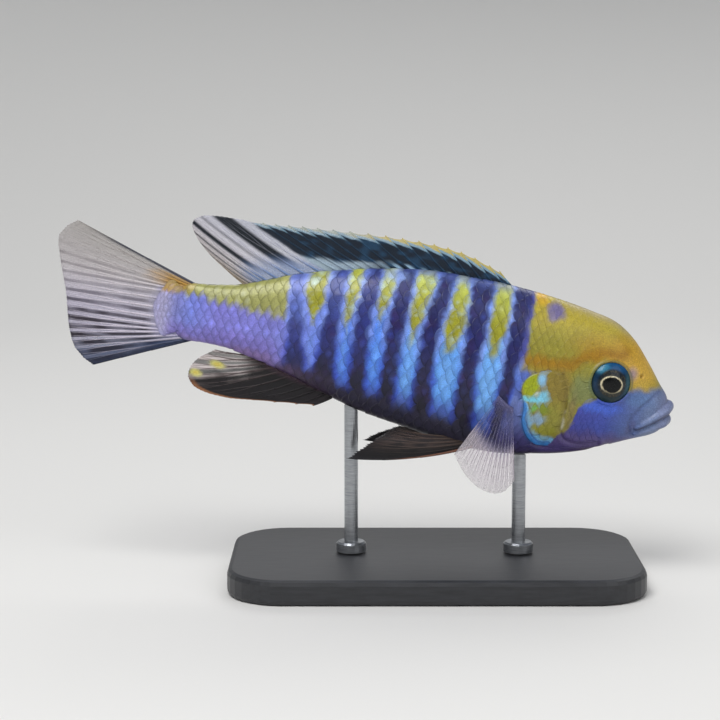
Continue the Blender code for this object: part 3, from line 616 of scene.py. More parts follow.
def bar_paint(points, u, hj, away):
    """Blue black, with violet clouds and paler blue specks inside."""
    return strokes(
        ramp(hj, [(-7.0, "#171524"), (-1.0, "#1B1B44"), (4.0, "#1C205C"), (9.0, "#21255C"),
                  (13.0, "#2A2F60")]),
        ("#26307E", 0.55 * rise(u, 43.0, 54.0) * rise(hj, -4.0, 1.0)),
        ("#2E1C4E", 0.6 * rise(cloud(points, 0.9, 24), 0.1, 0.7)),
        ("#3A4AA0", 0.5 * rise(cloud(points, 0.5, 25), 0.25, 0.7) * rise(away, -0.9, -0.2)),
    )


print("from the middle of a window to a bar, mm:", bar_distance(37.0, 0.0)[0].round(2))

# %% [markdown]
# ## Windows between the bars
# Each window is olive yellow above and sky blue below, with lilac fringes at the bars. Two flat
# colours with a soft edge would be too plain: the yellow narrows downwards to a point, and on the
# stalk its lower edge steps from scale to scale. Both come from distances already at hand.

# %% Paint the windows
WINDOW_BLUE = [
    (26.0, "#5F86D2"), (30.2, "#6AA4E6"), (37.0, "#5C9AE8"), (43.0, "#66A0EE"), (48.4, "#4A80E2"),
    (53.4, "#4C78D6"), (59.0, "#6F85E0"), (65.0, "#7C7CCE"), (74.0, "#7E7ACC"), (79.0, "#7480D2"),
    (81.0, "#7C80C0"),
]
YELLOW_FOOT = ((24, 3.8), (30, 3.6), (37, 2.8), (43, 2.0), (48, 4.2), (53.5, 1.6), (60, 2.4),
               (63, 2.6), (82, 3.1))
TOOTH = 1.75


def blue_paint(u, h, uj, hj, away):
    """The sky blue, deeper below, and the fringes along the bars."""
    return strokes(
        ramp(uj, WINDOW_BLUE),
        ("#4650B0", 0.75 * rise(-hj, 3.6, 7.0) * fall(u, 62, 66)),
        ("#7CB2F0", 0.45 * rise(away, 0.7, 1.6) * spot(u, h, (44.0, -0.8), (16.0, 3.2), 0.5)),
        ("#7C92DE", 0.8 * fall(away, 0.3, 1.1) * rise(hj, -1.0, 4.0)),
        ("#474C98", rise(26.8 - u, 0.0, 0.3) * rise(h, 2.0, 4.5)),
        ("#2C42B8", 0.85 * fall(away, 0.1, 0.8) * rise(-hj, -3.5, 1.5)),
    )


def yellow_paint(points, u, hj):
    """Olive yellow with pale specks, partly mottling and partly painted glints, duller on the
    tail stalk.
    """
    # pale bluish specks: partly mottling, partly painted glints of wet scales
    specks = rise(cloud(points, 0.5, 26), 0.1, 0.6) * rise(u, 32.0, 37.0) * fall(u, 60.0, 64.0)
    olive = ramp(hj, [(2.0, "#858C42"), (5.0, "#918F24"), (9.0, "#959426"), (12.0, "#A8AE46"),
                      (14.0, "#C2CC7E")])
    stalk = ramp(hj, [(1.0, "#80825C"), (3.5, "#929256"), (7.0, "#969656")])
    return blend(over(olive, "#A4BCBE", 0.60 * specks), stalk, rise(u, 60.0, 64.5))


def yellow_share(u, uj, hj, away):
    """Where it is yellow: above the foot line, and further from the bars lower down."""
    teeth = np.abs((u / TOOTH) % 1 - 0.5) * 2 - 0.5
    foot = follow(uj, YELLOW_FOOT) + 1.1 * teeth * rise(u, 62.0, 65.0)
    needed = 0.55 + 0.9 * fall(hj, foot + 0.3, foot + 5.0) * fall(u, 60, 64)
    return rise(hj, foot - 0.5, foot + 0.6) * rise(away, needed - 0.40, needed + 0.25)


print("yellow at the top of a window:", yellow_share(37.0, 37.0, 10.0, 1.5).round(2))

# %% [markdown]
# ## The whole flank
# Windows first, bars over them, then the back's blue gleam and the dark belly that closes the
# pattern below. The stalk has lilac under its yellow. An edge loop could part back from belly, but
# a line of heights along the body is easier to bend to what was measured.

# %% Paint the flank
BELLY_TOP = ((24, -11.6), (28, -9.4), (31, -8.2), (37, -7.6), (43, -7.1), (48, -6.5), (54, -5.8),
             (58, -4.8), (62, -4.6), (66, -6.2), (70, -9.0))
BELLY_RUN = [(24.0, "#4B4C84"), (28.0, "#434474"), (31.0, "#383648"), (52.0, "#322F42"),
             (58.0, "#352844"), (63.0, "#54406A"), (68.0, "#826898")]


def flank_paint(points):
    """The flank's colour at places in the fish's frame."""
    u, y, h = np.moveaxis(points, -1, 0)
    uj = stirred(u, points, (0.30, 1.2, 21), (0.18, 0.4, 22))
    hj = stirred(h, points, (0.50, 1.4, 23))
    away, strength = bar_distance(uj, hj)
    away = np.where(u > BARS_END, FAR_FROM_BARS, away)
    colour = blue_paint(u, h, uj, hj, away)
    colour = blend(colour, yellow_paint(points, u, hj), yellow_share(u, uj, hj, away))
    stalk = rise(u, 61.5, 66.0)
    colour = strokes(
        colour,
        ("#7A6CB8", 0.7 * stalk * rise(-hj, 0.6, 2.8)),
        ("#8A6C98", 0.6 * stalk * rise(-hj, 2.9, 4.4)),
    )
    colour = blend(colour, bar_paint(points, u, hj, away), fall(away, -0.35, 0.32) * strength)
    back = rise(h, 13.0, 14.1) * rise(u, 27.5, 29.5) * fall(u, 44, 52)
    colour = strokes(
        colour,
        ("#4C5C9C", 0.7 * back),
        ("#8FA8E2", 0.6 * spot(uj, hj, (47.6, 12.7), (1.9, 0.7), 0.5)),
        ("#A07E34", 0.8 * spot(u, h, (81.5, 4.6), (2.4, 1.5), 0.5)),
        ("#1E3A58", 0.9 * spot(u, h, (80.2, -5.1), (2.6, 1.2), 0.5)),
    )
    under = over(ramp(uj, BELLY_RUN), "#34242A", 0.5 * fall(np.abs(y), 0.5, 2.2))
    return blend(colour, under, rise(follow(uj, BELLY_TOP) - hj, -0.9, 1.1))


print("window behind the shoulder:", flank_paint(np.array([[37.0, -6.0, 0.0]])).round(3))

# %% [markdown]
# ## Head and flank together
# Head and flank could be two pieces with a seam at the neck. One skin needs one colour, so the two
# paintings are blended over a narrow wavy line behind the head, and a fine grain is laid over all.

# %% Paint skin and scales
NECK_HEIGHTS = (-10.0, -2.0, 3.0, 6.0, 10.0, 12.5)
NECK_LINE = (27.2, 26.2, 25.7, 25.3, 25.4, 25.2)


def paint(points):
    """The colour of the skin or of a scale at places in the fish's frame."""
    u, _, h = np.moveaxis(points, -1, 0)
    neck = np.interp(h, NECK_HEIGHTS, NECK_LINE)
    share = rise(stirred(u, points, (0.3, 0.9, 41)), neck - 0.4, neck + 0.4)[..., None]
    colour = head_paint(points) * (1 - share) + flank_paint(points) * share
    grain = stirred(1.0, points, (0.09, 0.30, 42), (0.06, 1.1, 43), (0.05, 0.15, 44))
    return colour * grain[..., None]


print("paint at the cheek:", paint(np.array([[12.0, -5.0, -1.5]])).round(3))

# %% [markdown]
# ## Where the eyes sit
# An eye looks out along the head's own slope, a little forward and up. It could be turned by hand
# until it looks right. The slope of the body's half width round the eye gives the direction.

# %% Half width and the eyes' axes
EYE_RADIUS = 3.75
EYE_THICKNESS = 2.3
EYE_PROUD = 1.0


def half_width(u, h):
    """The body's half width where its side view shows (u, h)."""
    s = np.interp(u, STATIONS[:, 0] * 0.5 + STATIONS[:, 2] * 0.5, np.arange(LAST + 1))
    _, back, _, belly, half, widest, above, below = np.moveaxis(curve(STATIONS, s), -1, 0)
    level = (h - belly) / (back - belly)
    high = level >= widest
    away = np.where(high, (level - widest) / (1 - widest), (widest - level) / widest)
    power = np.where(high, above, below)
    return half * np.maximum(1 - np.clip(away, 0, 1) ** power, 0) ** (1 / power)


def eye_axis(side):
    """Where an eye comes through the skin, and the way that it looks."""
    u, h = EYE_PLACE
    step = 0.5
    slope_u = (half_width(u + step, h) - half_width(u - step, h)) / (2 * step)
    slope_h = (half_width(u, h + step) - half_width(u, h - step)) / (2 * step)
    out = np.array([-slope_u, side, -slope_h])
    return np.array([u, side * half_width(u, h), h]), out / np.linalg.norm(out)


print("left eye looks along", eye_axis(1)[1].round(2))

# %% [markdown]
# ## Lips
# A lip is a soft roll round the mouth, thick in front and thin at the corners. It could be a tube
# joined to the head, but the joint would show. Here a row of balls along each lip pushes the skin
# out to their surface, so that lip and head stay one mesh.

# %% The roll of the lips
LIP_RADIUS = 1.02
LIP_CORNER_RADIUS = 0.45
LIP_LEVELS = (0.95, -1.15)


def lip_roll(level):
    """Middles and radii along one lip, from corner to corner."""
    turn = np.linspace(-1, 1, 81) * math.pi / 2
    back = 1 - np.cos(turn)
    u = MOUTH_FRONT[0] + (MOUTH_CORNER[0] - MOUTH_FRONT[0]) * back
    radius = LIP_RADIUS + (LIP_CORNER_RADIUS - LIP_RADIUS) * back
    h = MOUTH_FRONT[2] + (MOUTH_CORNER[1] - MOUTH_FRONT[2]) * back + level * radius
    y = half_width(np.maximum(u, 0.9), h) * np.clip(3 * np.sin(turn), -1, 1)
    return np.stack([u + 0.15 * (1 - back), 0.97 * y, h], -1), radius


def push_out(points, normals, middles, radii):
    """How far each point moves along its normal to come out on a row of balls."""
    far = np.zeros(len(points))
    for middle, radius in zip(middles, radii):
        to = middle - points
        along = np.einsum("ij,ij->i", to, normals)
        short = radius**2 - np.einsum("ij,ij->i", to, to) + along**2
        reached = np.maximum(far, along + np.sqrt(np.maximum(short, 0)))
        far = np.where(short > 0, reached, far)
    return far


print("balls along a lip:", len(lip_roll(LIP_LEVELS[0])[1]))

# %% [markdown]
# ## The relief of the head
# Eye sockets, nostrils, folds and gill cover all stand off the plain loft. They could be joined by
# Booleans, which leave ragged edges in fine skin. Here each skin point is moved along its own
# normal: in under the eye and up over the gill cover. The mesh stays one clean grid.

# %% Raise and sink the skin
SOCKET = 3.18
SOCKET_DEPTH = 2.4
GILL_LIFT = 0.28
PECTORAL_ROOT = (26.7, -3.1)


def bony_lift(u, h):
    """The gill cover and its groove, the cheek's edge, the throat's slit and the jaw's fold."""
    edge = line_distance(u, h, GILL_LINE)
    signed = np.where(inside(u, h, GILL_LINE), edge, -edge)
    rear = rise(u, 19.0, 20.6)
    plate = GILL_LIFT * rise(signed, 0.0, 0.22 + 1.2 * (1 - rear))
    groove = -0.34 * rear * bell(signed, -0.22, 0.2)
    fold = line_distance(u, h, CHEEK_EDGE)
    slit = line_distance(u, h, THROAT_SLIT)
    jaw = line_distance(u, h, JAW_FOLD)
    sunk = plate + groove - 0.13 * bell(fold, 0, 0.22) - 0.26 * bell(slit, 0, 0.2)
    return sunk + (0.10 * bell(fold, 0.7, 0.5) - 0.11 * bell(jaw, 0, 0.25))


def relief(points, normals):
    """The skin's points moved to their relief."""
    points = points.copy()
    u, y, h = points[:, 0], points[:, 1], points[:, 2]
    head = u < 30
    lift = np.zeros(len(points))
    lift[head] = bony_lift(u[head], h[head])
    hole = np.hypot(u - NOSTRIL[0], h - NOSTRIL[1])
    lift += 0.08 * bell(hole, 0.42, 0.16) - 0.5 * bell(hole, 0, 0.24)
    lift += 0.45 * bell(np.hypot(u - PECTORAL_ROOT[0], h - PECTORAL_ROOT[1]), 0, 1.25)
    points += normals * lift[:, None]
    for side in (1, -1):
        middle, out = eye_axis(side)
        near = (np.abs(u - EYE_PLACE[0]) < 5) & (np.abs(h - EYE_PLACE[1]) < 5)
        near &= np.sign(y) == side
        to = points[near] - middle
        deep = to @ out
        away = np.linalg.norm(to - deep[:, None] * out, axis=1)
        sink = SOCKET_DEPTH * fall(away, SOCKET - 0.45, SOCKET + 0.05)
        ring = 0.34 * bell(away - SOCKET, 0.22, 0.26)
        points[near] += out * (ring - sink)[:, None]
    front = np.flatnonzero(points[:, 0] < 9)
    far = np.zeros(len(front))
    for level in LIP_LEVELS:
        far = np.maximum(far, push_out(points[front], normals[front], *lip_roll(level)))
    points[front] += normals[front] * far[:, None]
    return points


print("lift on the gill cover, mm:", bony_lift(np.array([21.4]), np.array([-3.0])).round(2))

# %% [markdown]
# ## Making a mesh from arrays
# Every piece below ends as arrays of points, faces, colours and map places. Blender can take them
# one vertex at a time, but setting whole arrays at once is far quicker. The map called OFBake says
# where each face lies on a flat copy of the skin, which an exporter needs to keep the colours.

# %% One maker for all pieces
def ring_faces(rings, count, flip=False):
    """Faces between rings of points, each ring closed; flip turns them to face the other way."""
    faces = []
    for a in range(0, (rings - 1) * count, count):
        for k in range(count):
            n = (k + 1) % count
            face = (a + k, a + count + k, a + count + n, a + n)
            faces.append(face[:1] + face[:0:-1] if flip else face)
    return faces


def closed_sheet(rows, wide):
    """Faces of a thin closed sheet: its top, its underside and the rim between them."""
    faces = []
    under = rows * wide
    for a in range(0, (rows - 1) * wide, wide):
        for k in range(a, a + wide - 1):
            faces.append((k, k + wide, k + wide + 1, k + 1))
            faces.append((under + k + 1, under + k + wide + 1, under + k + wide, under + k))
    rim = list(range(wide)) + [i * wide - 1 for i in range(2, rows + 1)]
    rim += list(range(under - 2, under - wide - 1, -1))
    rim += [i * wide for i in range(rows - 2, 0, -1)]
    return faces + [(a, b, under + b, under + a) for a, b in zip(rim, rim[1:] + rim[:1])]


def smooth_piece(name, points, faces, colours, material, flat_map=None, alpha=None):
    """A painted mesh that rides on the model, with its map places where it has them."""
    mesh = bpy.data.meshes.new(name)
    mesh.from_pydata(to_world(points).tolist(), [], faces)
    layer = mesh.color_attributes.new("paint", "FLOAT_COLOR", "POINT")
    alpha = np.ones(len(points)) if alpha is None else alpha
    rgba = np.concatenate([np.clip(colours, 0, 1), alpha[:, None]], axis=1)
    layer.data.foreach_set("color", rgba.astype(np.float32).ravel())
    if flat_map is not None:
        places = mesh.uv_layers.new(name="OFBake")
        places.data.foreach_set("uv", np.asarray(flat_map, np.float32).ravel())
    mesh.materials.append(material)
    mesh.shade_smooth()
    piece = bpy.data.objects.new(name, mesh)
    bpy.context.scene.collection.objects.link(piece)
    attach(piece, "root")
    triangles = sum(len(face) - 2 for face in faces)
    print(f"{name}: {len(points)} points, {triangles} triangles")
    return piece


print("faces of a sheet of 3 by 3 points:", len(closed_sheet(3, 3)))

# %% [markdown]
# ## Nodes in few words
# Every finish here is a small tree of nodes: a noise, something that spreads its values, a bump.
# They could be joined by hand in the shader editor. Written as helpers, each finish below can be
# read as a sentence.

# %% Helpers for finishes
def node(tree, kind, **values):
    """A new node with its settings and input values."""
    made = tree.nodes.new(kind)
    for key, value in values.items():
        if hasattr(made, key):
            setattr(made, key, value)
        else:
            made.inputs[key].default_value = value
    return made


def blank(name):
    """A new material, its node tree and its shader."""
    material = bpy.data.materials.new(name)
    material.use_nodes = True
    return material, material.node_tree, material.node_tree.nodes["Principled BSDF"]


def noise(tree, place, scale, detail, roughness):
    """Cloudy noise over the places that come in."""
    made = node(tree, "ShaderNodeTexNoise", Scale=scale, Detail=detail, Roughness=roughness)
    tree.links.new(place, made.inputs["Vector"])
    return made.outputs[0]


def spread(tree, value, low, high, start=(0.0, 1.0)):
    """Values from the start's span stretched to run from low to high."""
    sockets = {"From Min": start[0], "From Max": start[1], "To Min": low, "To Max": high}
    made = node(tree, "ShaderNodeMapRange", **sockets)
    tree.links.new(value, made.inputs["Value"])
    return made.outputs["Result"]


def roughen(tree, shader, height, strength, distance):
    """A bump that follows a height."""
    made = node(tree, "ShaderNodeBump", Strength=strength, Distance=distance)
    tree.links.new(height, made.inputs["Height"])
    tree.links.new(made.outputs["Normal"], shader.inputs["Normal"])


print("helpers ready:", ", ".join(f.__name__ for f in (node, blank, noise, spread, roughen)))

# %% [markdown]
# ## Wet fish skin as a material
# Living skin is a thin clear slime over pigment, with silvery cells under it that glint. It could
# be plain glossy paint. Here the painted colour gets a fine cloud of darker and paler specks, a
# roughness that wanders, a little metal for the glint, a bump of tiny grains and a clear coat.

# %% Skin and scale materials
GRAIN_DEPTH = 0.00006
GLOSS_WANDER = 0.12


def speckled(name, grain, bump, roughness, metal, coat, amount, coat_roughness=0.18,
             specular=0.3, clear=False):
    """A finish that takes its colour from the paint and adds specks, grains and gloss."""
    material, tree, shader = blank(name)
    link = tree.links.new
    place = node(tree, "ShaderNodeTexCoord").outputs["Object"]
    pigment = node(tree, "ShaderNodeAttribute", attribute_name="paint")
    specks = noise(tree, place, grain, 4.0, 0.6)
    wander = noise(tree, place, grain * 0.25, 2.0, 0.5)
    colour = node(tree, "ShaderNodeVectorMath", operation="SCALE")
    link(pigment.outputs["Color"], colour.inputs[0])
    link(spread(tree, specks, 1 - amount, 1 + amount, (0.3, 0.7)), colour.inputs["Scale"])
    link(colour.outputs["Vector"], shader.inputs["Base Color"])
    gloss = spread(tree, wander, roughness - GLOSS_WANDER, roughness + GLOSS_WANDER)
    link(gloss, shader.inputs["Roughness"])
    roughen(tree, shader, specks, bump, GRAIN_DEPTH)
    if clear:
        link(pigment.outputs["Alpha"], shader.inputs["Alpha"])
    for socket, value in (("Metallic", metal), ("Specular IOR Level", specular),
                          ("Coat Weight", coat), ("Coat Roughness", coat_roughness)):
        shader.inputs[socket].default_value = value
    return material


SKIN = speckled("wet_skin", 5200, 0.45, 0.42, 0.0, 0.18, 0.30)
SCALE = speckled("scale_horn", 6500, 0.40, 0.36, 0.06, 0.22, 0.26)
print("finishes:", SKIN.name, SCALE.name)

# %% [markdown]
# ## The skin's grid
# The skin is one grid of columns from snout to tail and rows round the body, closed by a point at
# each end. Even steps would waste points on the flank, which the scales hide. So the columns stand
# close on the head and wide behind it, and the rows are spread evenly by length round the oval.

# %% Columns and rows of the skin
ROUND = 280
CAP_RINGS = 7
COLUMN_STEPS = ((0, 25, 30, 84), (0.16, 0.18, 0.42, 0.42))


def even_columns():
    """Stations at the spacing that each part of the body needs."""
    s = np.linspace(0, LAST, 4000)
    row = curve(STATIONS, s)
    step = np.maximum(
        np.linalg.norm(np.gradient(row[:, 0:2], axis=0), axis=1),
        np.linalg.norm(np.gradient(row[:, 2:4], axis=0), axis=1),
    )
    count = np.cumsum(step / np.interp(row[:, 0], *COLUMN_STEPS))
    return np.interp(np.arange(int(count[-1])), count, s)


def even_turns():
    """Turns that lie about evenly along an oval twice as high as wide."""
    turn = np.linspace(0, 2 * math.pi, 2001)
    step = np.hypot(2 * np.sin(turn), np.cos(turn))
    length = np.cumsum(step) - step[0]
    return np.interp(np.arange(ROUND) / ROUND * length[-1], length, turn)


def skin_grid():
    """Columns of points round the body, with the rounded caps at both ends."""
    columns = [body(np.full(ROUND, s), TURNS) for s in COLUMN_S]
    share = np.linspace(0, 1, CAP_RINGS + 2)[1:-1, None, None]
    front = np.array(MOUTH_FRONT) + (columns[0] - np.array(MOUTH_FRONT)) * share
    rear = np.array(STALK_END) + (columns[-1] - np.array(STALK_END)) * share[::-1]
    return np.concatenate([front, np.array(columns), rear])


COLUMN_S = even_columns()
TURNS = even_turns()
GRID_POINTS = skin_grid()
COLUMNS = len(GRID_POINTS)
print("skin grid:", COLUMNS, "columns of", ROUND)

# %% [markdown]
# ## The skin itself
# The relief moves points along normals, so those come from the grid before it is shaped. The skin
# is sunk by a hair's breadth, which leaves room for the scales' roots over it. One skin takes the
# place of all the flesh nodes of the CAD, so no parting line is left.

# %% Build the skin
SUNK = 0.06
ACROSS = np.roll(GRID_POINTS, -1, axis=1) - np.roll(GRID_POINTS, 1, axis=1)
NORMALS = np.cross(np.gradient(GRID_POINTS, axis=0), ACROSS)
NORMALS /= np.linalg.norm(NORMALS, axis=2)[..., None] + 1e-12
NORMALS *= np.sign(NORMALS[COLUMNS // 2, ROUND // 4, 1])
GRID_S = np.linspace(0, 1, COLUMNS)
ROUND_SHARE = np.arange(ROUND + 1) / ROUND


def skin_map():
    """Places on the flat map, corner by corner, for the grid's faces and the two end fans."""
    low, high = GRID_S[:-1, None], GRID_S[1:, None]
    here, there = ROUND_SHARE[:-1], ROUND_SHARE[1:]
    corners = [(low, here), (high, here), (high, there), (low, there)]
    grid = np.stack([np.stack(np.broadcast_arrays(*corner), -1) for corner in corners], 2)
    fans = np.stack([np.tile([0, 0, 0, 1, 1, 1], ROUND), np.repeat(here, 6)], -1)
    return np.concatenate([grid.reshape(-1, 2), fans])


def build_skin():
    """One skin from the lips to the root of the tail fin."""
    flat, normals = GRID_POINTS.reshape(-1, 3), NORMALS.reshape(-1, 3)
    points = np.concatenate([relief(flat, normals) - SUNK * normals, [MOUTH_FRONT], [STALK_END]])
    faces = ring_faces(COLUMNS, ROUND)
    front, rear, start = len(points) - 2, len(points) - 1, (COLUMNS - 1) * ROUND
    for k in range(ROUND):
        n = (k + 1) % ROUND
        faces += [(front, k, n), (rear, start + n, start + k)]
    colours = paint(np.concatenate([flat, [MOUTH_FRONT], [STALK_END]]))
    skin = smooth_piece("fish_skin", points, faces, colours, SKIN, skin_map())
    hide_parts("head", "lower_jaw", "gill_cover_left", "gill_cover_right", "trunk",
                "tail_stalk")


build_skin()

# %% [markdown]
# ## The lie of the scales
# Scales are thin horny plates that overlap like roof tiles, in rows that run along the fish, with
# every second row set half a scale back. Particles could scatter them, but they would not keep
# rows. A lattice on the map of the side does, and its pitch follows the size of the scales, which
# are smallest on the cheek.

# %% Rows of scales
OVERLAP = 1.9
SIZES_AT = (12, 22, 32, 60, 82)
PITCH_AT = (12, 22, 31, 60, 82)
SCALE_ROWS = range(-14, 15)


def scale_length(u):
    """How far apart scales stand along a row."""
    return np.interp(u, SIZES_AT, (0.92, 1.25, 1.75, 1.62, 1.30))


def row_pitch(u):
    """How far apart the rows are."""
    return np.interp(u, PITCH_AT, (0.90, 1.20, 1.72, 1.55, 1.25))


def lattice():
    """Roots of all scales of one side: u, g, and the row that each is in."""
    fine = np.linspace(9, 86, 2000)
    count = np.cumsum((fine[1] - fine[0]) / scale_length(fine))
    places = []
    for row in SCALE_ROWS:
        columns = np.arange(0, int(count[-1])) + 0.5 * (row % 2)
        for u in np.interp(columns, count, fine):
            places.append((u, row * row_pitch(u), row))
    return np.array(places)


print("places for scales on a side:", len(lattice()))

# %% [markdown]
# ## Where scales grow
# The snout, the lips and the rim of the gill cover are bare, and so is the skin round the eye.
# Weights painted on the mesh could say so. The head's own lines already do: a place bears scales
# when it is far enough from the eye, the folds and the cover's edge.

# %% Zones of the scales
FLANK = 1
HEAD = 2
SCALED_FROM = ((-12.0, -8.8, -5.0, 0.0, 3.3, 4.2, 8.0, 13.0),
               (21.5, 22.8, 24.3, 25.4, 21.5, 17.2, 15.3, 16.0))


def scaled_zone(points):
    """FLANK or HEAD where scales grow, else 0."""
    u, _, h = np.moveaxis(points, -1, 0)
    edge = line_distance(u, h, GILL_LINE)
    covered = inside(u, h, GILL_LINE)
    fold = line_distance(u, h, CHEEK_EDGE)
    eye_away = np.hypot(u - EYE_PLACE[0], h - EYE_PLACE[1])
    lobe = np.hypot((u - 26.6) / 1.5, (h + 3.1) / 1.5)
    flank = (u > np.interp(h, *SCALED_FROM)) & ~covered & (u < 81.5) & (lobe > 1)
    cheek = (u > 11.2) & (u < 17.0) & (h < 0.4) & (h > -6.9) & (eye_away > 4.35) & (fold > 0.75)
    cheek |= (u > 15.3) & (u < 17.6) & (h > 0.2) & (h < 4.4) & (eye_away > 4.4) & (fold > 0.5)
    cover = covered & (edge > 0.95) & (u > 18.6) & (h > -6.8)
    return np.where(flank, FLANK, np.where((cheek & ~covered) | cover, HEAD, 0))


def scales_of(zone, side):
    """The scales whose open part lies in a zone: root u and g, row, length, place, room."""
    root_u, root_g, row = lattice().T
    length = OVERLAP * scale_length(root_u)
    seen_u = root_u + 0.74 * length
    up, down = girth_limits(seen_u)
    margin = 0.42 * row_pitch(root_u)
    seen = body(*on_flank(seen_u, root_g, side))
    fits = (root_g < up - margin) & (root_g > down + margin)
    keep = fits & (scaled_zone(seen) == zone)
    return [v[keep] for v in (root_u, root_g, row, length, seen, up, down)]


print("scales on a flank and on a cheek:", [len(scales_of(zone, 1)[0]) for zone in (FLANK, HEAD)])

# %% [markdown]
# ## The shape of one scale
# A scale is rooted deep in the skin and rises towards its rounded rear edge. A bump in the skin's
# material would go flat at the outline. Here each is a closed little plate of its own, low at the
# sides and domed along the middle, so that real light catches real edges. t runs from root to
# rear and q across.

# %% Shape of a scale
ALONG = 8
WIDE = 9
PLATE_THICK = 0.03
ROW_SHARE = 1.16
CLOSE_TO_REAR = 1 - (1 - np.linspace(0, 1, ALONG)) ** 1.6
LOCAL_T, LOCAL_Q = np.meshgrid(CLOSE_TO_REAR, np.linspace(-1, 1, WIDE), indexing="ij")
REAR = 0.42 + 0.58 * np.sqrt(1 - 0.97 * LOCAL_Q**2)


def each(values):
    """One value for each scale, spread over that scale's grid."""
    return values[:, None, None]


def widening(t):
    """A scale's width along its length, as a share."""
    return 0.78 + 0.22 * rise(t, 0.0, 0.4)


def rooted(t):
    """Deep in the skin at the root, nearly out of it at the rear."""
    return -0.13 + 0.10 * rise(t, 0, 0.62)


def domed(t, q, height):
    """Higher along the middle."""
    return height * (1 - q**2) * rise(t, 0, 0.3)


def worn(t, q):
    """Lower at both sides of the rear edge."""
    return 0.05 * rise(np.abs(q), 0.2, 0.95) * t**2


print("points in one scale:", 2 * ALONG * WIDE)

# %% [markdown]
# ## The colour of one scale
# Each scale leans to the colour of its own middle and gets a painted highlight in that middle and
# painted shade at its rear rim; some also get a small painted blue highlight near the rear edge.
# Colour could come from the skin alone, but then the bars' edges would cross the scales instead of
# stepping from one to the next.

# %% Colour of a scale
LEAN_TO_MIDDLE = 0.28
# the colour of a small painted blue highlight near the rear edge of some scales
SPARK_HIGHLIGHT = tint("#4266CC")


def scale_colours(base, seen, t, q, pore, chances, bold):
    """Colours of the plates' points, from the paint at each point and at each scale's middle,
    with a painted highlight, painted rim shade and painted blue highlights.
    """
    own = paint(base)
    colour = own + LEAN_TO_MIDDLE * (paint(seen)[:, None, None, :] - own)
    # rim: painted shade along each scale's rear rim and sides
    rim = np.clip(rise(t, 0.78, 1.0) + 0.5 * rise(np.abs(q), 0.7, 1.0), 0, 1)
    # glint: a painted highlight in the middle of each scale
    glint = np.exp(-((t - 0.66) / 0.15) ** 2 - (q / 0.5) ** 2)
    shade, bright, aside = (each(chance) for chance in chances)
    # the painted highlight and painted rim shade, a random tone for each scale, and darker pores
    light = 1 + bold * (0.20 * glint - 0.17 * rim + 0.05 * shade) - 0.2 * pore
    # a painted blue highlight near the rear edge, on some scales only
    spark_highlight = np.exp(-((t - 0.80) / 0.10) ** 2 - ((q - 0.35 * aside) / 0.24) ** 2)
    where = rise(seen[:, 0], 24.0, 30.0) * rise(seen[:, 2], -8.0, -2.0)
    spark_highlight = (spark_highlight * rise(bright, 0.1, 1.2) * each(where))[..., None]
    colour = colour * light[..., None] * (1 + 0.25 * spark_highlight) + 0.22 * spark_highlight * SPARK_HIGHLIGHT
    return colour.reshape(len(seen), -1, 3)


print("spark colour:", SPARK_HIGHLIGHT.round(3))

# %% [markdown]
# ## Many plates in one mesh
# Over a thousand scales as objects of their own would slow Blender down. All plates of a side are
# joined in one mesh. Each keeps a small patch of its own on the skin's flat map, at the place of
# its root.

# %% Join the plates
PATCH = 0.003
COLUMN_PLACE = (CAP_RINGS + np.arange(len(COLUMN_S))) / (COLUMNS - 1)


def skin_place(s, turn):
    """Where a place of the skin lies on the skin's flat map."""
    round_share = np.interp(turn % (2 * math.pi), np.append(TURNS, 2 * math.pi), ROUND_SHARE)
    return np.stack([np.interp(s, COLUMN_S, COLUMN_PLACE), round_share], -1)


def join_plates(name, side, base, out, lift, colours, place):
    """One mesh of closed plates that stand off the body by their lift, with undersides darker as
    painted shade.
    """
    top = base + out * lift[..., None]
    under = base + out * (lift - PLATE_THICK)[..., None]
    count = len(top)
    sheets = [top.reshape(count, -1, 3), under.reshape(count, -1, 3)]
    points = np.concatenate(sheets, axis=1).reshape(-1, 3)
    # the undersides take the same colours darkened, as painted shade
    colours = np.concatenate([colours, colours * 0.8], axis=1).reshape(-1, 3)
    one = closed_sheet(ALONG, WIDE)
    if side < 0:
        one = [face[::-1] for face in one]
    per_scale = 2 * ALONG * WIDE
    faces = [tuple(n + i * per_scale for n in face) for i in range(count) for face in one]
    local = np.stack([LOCAL_T - 0.5, 0.5 * LOCAL_Q], -1).reshape(-1, 2) * PATCH
    local = np.concatenate([local, local])
    flat = place[:, None, :] + local[[n for face in one for n in face]][None]
    return smooth_piece(name, points, faces, colours, SCALE, flat.reshape(-1, 2))


print("patch of the first scale starts at", skin_place(np.array([9.0]), np.array([1.0])).round(3))

# %% [markdown]
# ## Scales of flank and head
# On the living fish the flank's scales are bold, those of the head are small and hardly stand out,
# and two rows carry the pores of the lateral line. One builder serves both zones. A little chance
# in length, width and lean keeps the rows from looking stamped.

# %% Build the scales of flank and head
PORED_ROWS = (4, 0)


def normal_at(s, turn):
    """The body's outward direction at stations and turns."""
    step = 0.02
    along = body(np.minimum(s + step, LAST), turn) - body(s - step, turn)
    around = body(s, turn + step) - body(s, turn - step)
    out = np.cross(along, around)
    return out / (np.linalg.norm(out, axis=-1)[..., None] + 1e-12)


def pores(t, q, row, seen_u):
    """The little tubes of the lateral line, which breaks off and goes on lower down."""
    pored = ((row == PORED_ROWS[0]) & (seen_u < 61)) | ((row == PORED_ROWS[1]) & (seen_u > 57))
    return bell(q, 0, 0.16) * rise(t, 0.35, 0.5) * fall(t, 0.8, 0.95) * each(pored)


